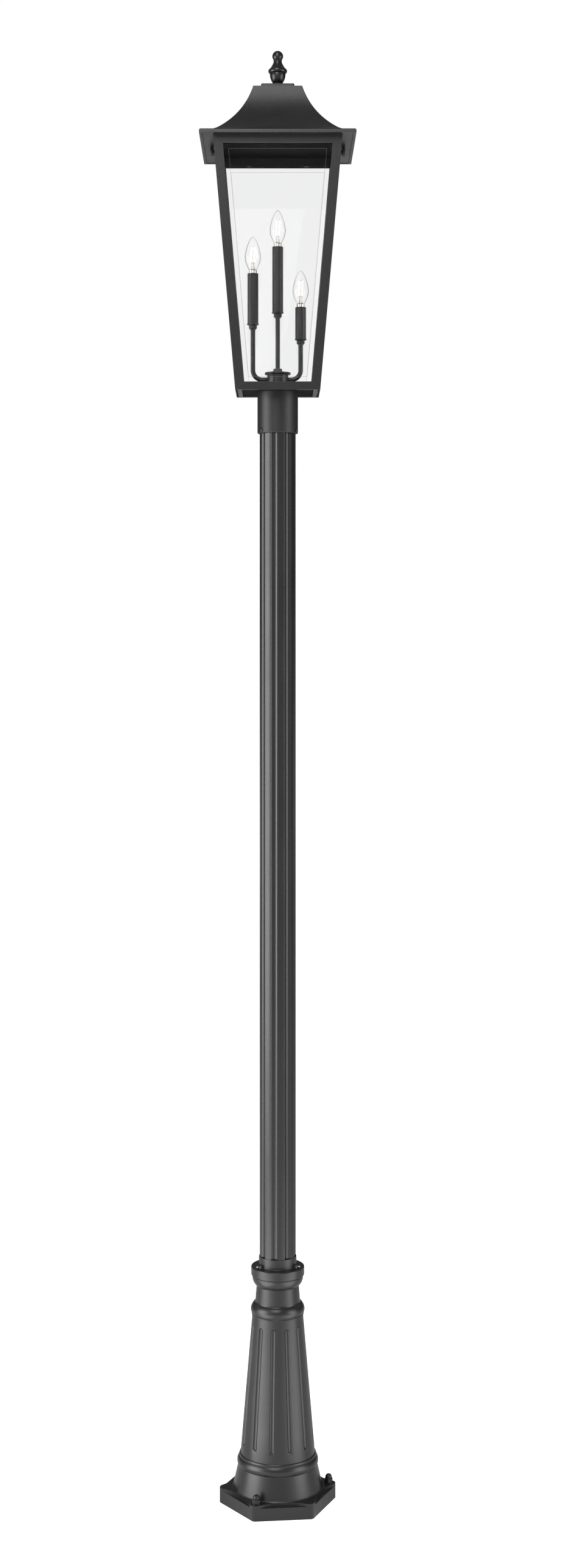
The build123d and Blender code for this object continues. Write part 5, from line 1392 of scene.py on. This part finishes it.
for side, turn in (("front", 0), ("right", 90), ("back", 180), ("left", 270)):
    glass = copied(pane, f"bevelled_pane_{side}", turn)
    dress(glass, "lantern", pane_glass, "bevelled_glass", f"glass_pane_{side}")
    line = copied(arris, f"pane_arris_{side}", turn)
    dress(line, "lantern", painted_arris_shade, "bevelled_glass")
remove(pane, arris)

# %% [markdown]
# What is left of the CAD model has the right shape and only needs its finish: the floor
# plate, the clips, the lampholders and the small threaded parts inside.

# %% finishes of the CAD nodes
CAD_FINISHES = (
    # the floor plate gets the deep matt black that paints the shade inside the lantern
    (painted_shade_black, ["lantern_floor"]),
    (plated_steel, ["glass_clips", "wire_nipple", "nipple_nut", "finial_stud", "finial_nut"]),
    (moulded_black, ["lampholder_centre", "lampholder_left", "lampholder_right"]),
)
for finish, names in CAD_FINISHES:
    for name in names:
        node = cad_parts[name]
        node.data.materials.clear()
        node.data.materials.append(finish)
print("dressed CAD nodes:", sum(len(names) for _, names in CAD_FINISHES))

# %% [markdown]
# The studio is plain: a pale floor and a white surround. They look white to the camera and
# through glass, and light the object only at a plain level. Gloss shows them in part. Dark
# flags stand behind the post in a photographer's studio, so what a reflection shows fades
# towards the back and overhead, and the edges of the black pieces stay dark.

# %% surround
AMBIENT = 0.2  # how bright the surround is as a light, where 1 is the white that the camera sees
GLOSSY_SHARE = 0.6  # how much of the white background a reflection shows
RISE_FADE, RISE_SHARE = (0.1, 0.6), 0.05  # the rise over which reflections fade, and what is left
BACK_FADE, BACK_SHARE = (-0.3, 0.3), 0.1  # the same from the front to the back
OVERHEAD = (0.15, 0.5)  # above this, a reflection shows the plain level again


def seen_directly(tree, glossy_share):
    """One for rays from the camera or through glass, and a share of it for reflections."""
    ray = tree.nodes.new("ShaderNodeLightPath").outputs
    seen = math(tree, "MAXIMUM", ray["Is Camera Ray"], ray["Is Transmission Ray"])
    return math(tree, "MAXIMUM", seen, times(tree, ray["Is Glossy Ray"], glossy_share))


world = bpy.data.worlds.new("surround")
bpy.context.scene.world = world
world.use_nodes = True
tree = world.node_tree
backdrop = tree.nodes["Background"]
backdrop.inputs["Color"].default_value = (1, 1, 1, 1)
way = split(tree, tree.nodes.new("ShaderNodeTexCoord").outputs["Generated"])
upwards = spread(tree, way["Z"], *RISE_FADE, GLOSSY_SHARE, RISE_SHARE)
backwards = spread(tree, way["Y"], *BACK_FADE, 1.0, BACK_SHARE)
seen = seen_directly(tree, times(tree, upwards, backwards))
overhead = spread(tree, way["Z"], *OVERHEAD, 0.0, AMBIENT)
glossy = tree.nodes.new("ShaderNodeLightPath").outputs["Is Glossy Ray"]
plain = spread(tree, glossy, 0.0, 1.0, AMBIENT, overhead)
feed(backdrop.inputs["Strength"], math(tree, "MAXIMUM", seen, plain))
print("surround:", AMBIENT, "as a light")

# %% floor
FLOOR_GREY, FLOOR_SIZE, FLOOR_DROP = 0.8, 60, 0.3
FLAG_PLACE, FLAG_BLUR, FLAG_SHARE = 4.0, 0.15, 0.1  # a dark flag on the floor behind the post
FAR_FADE, FAR_SHARE = (16.0, 20.0), 0.15

spot = mm(0, 0, -FLOOR_DROP)
floor = begin("floor", bpy.ops.mesh.primitive_plane_add, size=FLOOR_SIZE, location=spot)
end_edit()
grey = (FLOOR_GREY, FLOOR_GREY, FLOOR_GREY)
floor_paint, tree, shader = material("floor_paint", grey, 0.95, Specular_IOR_Level=0.0)
shader.inputs["Emission Color"].default_value = (1, 1, 1, 1)
back = split(tree, own_place(tree))["Y"]
from_flag = math(tree, "ABSOLUTE", math(tree, "SUBTRACT", back, FLAG_PLACE))
flagged = spread(tree, from_flag, FLAG_PLACE, FLAG_PLACE + FLAG_BLUR, FLAG_SHARE, GLOSSY_SHARE)
shown = times(tree, flagged, spread(tree, back, *FAR_FADE, 1.0, FAR_SHARE))
white = 1.0 - AMBIENT * FLOOR_GREY  # what the floor's own light lacks to look white
feed(shader.inputs["Emission Strength"], times(tree, seen_directly(tree, shown), white))
floor.data.materials.append(floor_paint)
print("floor:", FLOOR_SIZE, "m wide")

# %% [markdown]
# Five soft lights model the black: a large one at the left of the camera, a weaker one at
# the right, two low cards on the floor that face up and light the base from both sides, and
# a high one in front that draws the roof and the finial.


# %% lights
def soft_light(name, place, aim, width, height, watts):
    """A rectangular soft light that faces a point."""
    bpy.ops.object.light_add(type="AREA", location=place)
    lamp = bpy.context.object
    lamp.name = name
    lamp.data.shape = "RECTANGLE"
    lamp.data.size, lamp.data.size_y = width, height
    lamp.data.energy = watts
    lamp.visible_camera = False
    lamp.rotation_euler = (Vector(place) - Vector(aim)).to_track_quat("Z", "Y").to_euler()
    print(name, watts, "W")


soft_light("left_softbox", (-3.4, -1.25, 1.6), (0, 0, 1.4), 2.5, 3.2, 130)
soft_light("right_softbox", (3.3, -1.5, 1.6), (0, 0, 1.4), 1.8, 3.2, 65)
soft_light("left_card", (-1.0, -0.65, 0.01), (-1.0, -0.65, 1.0), 1.3, 1.1, 15)
soft_light("right_card", (1.0, -0.65, 0.01), (1.0, -0.65, 1.0), 1.3, 1.0, 9)
soft_light("high_softbox", (-0.6, -2.6, 4.75), (0, 0, 2.9), 1.6, 3.6, 88)

bpy.context.scene.view_settings.view_transform = "Standard"
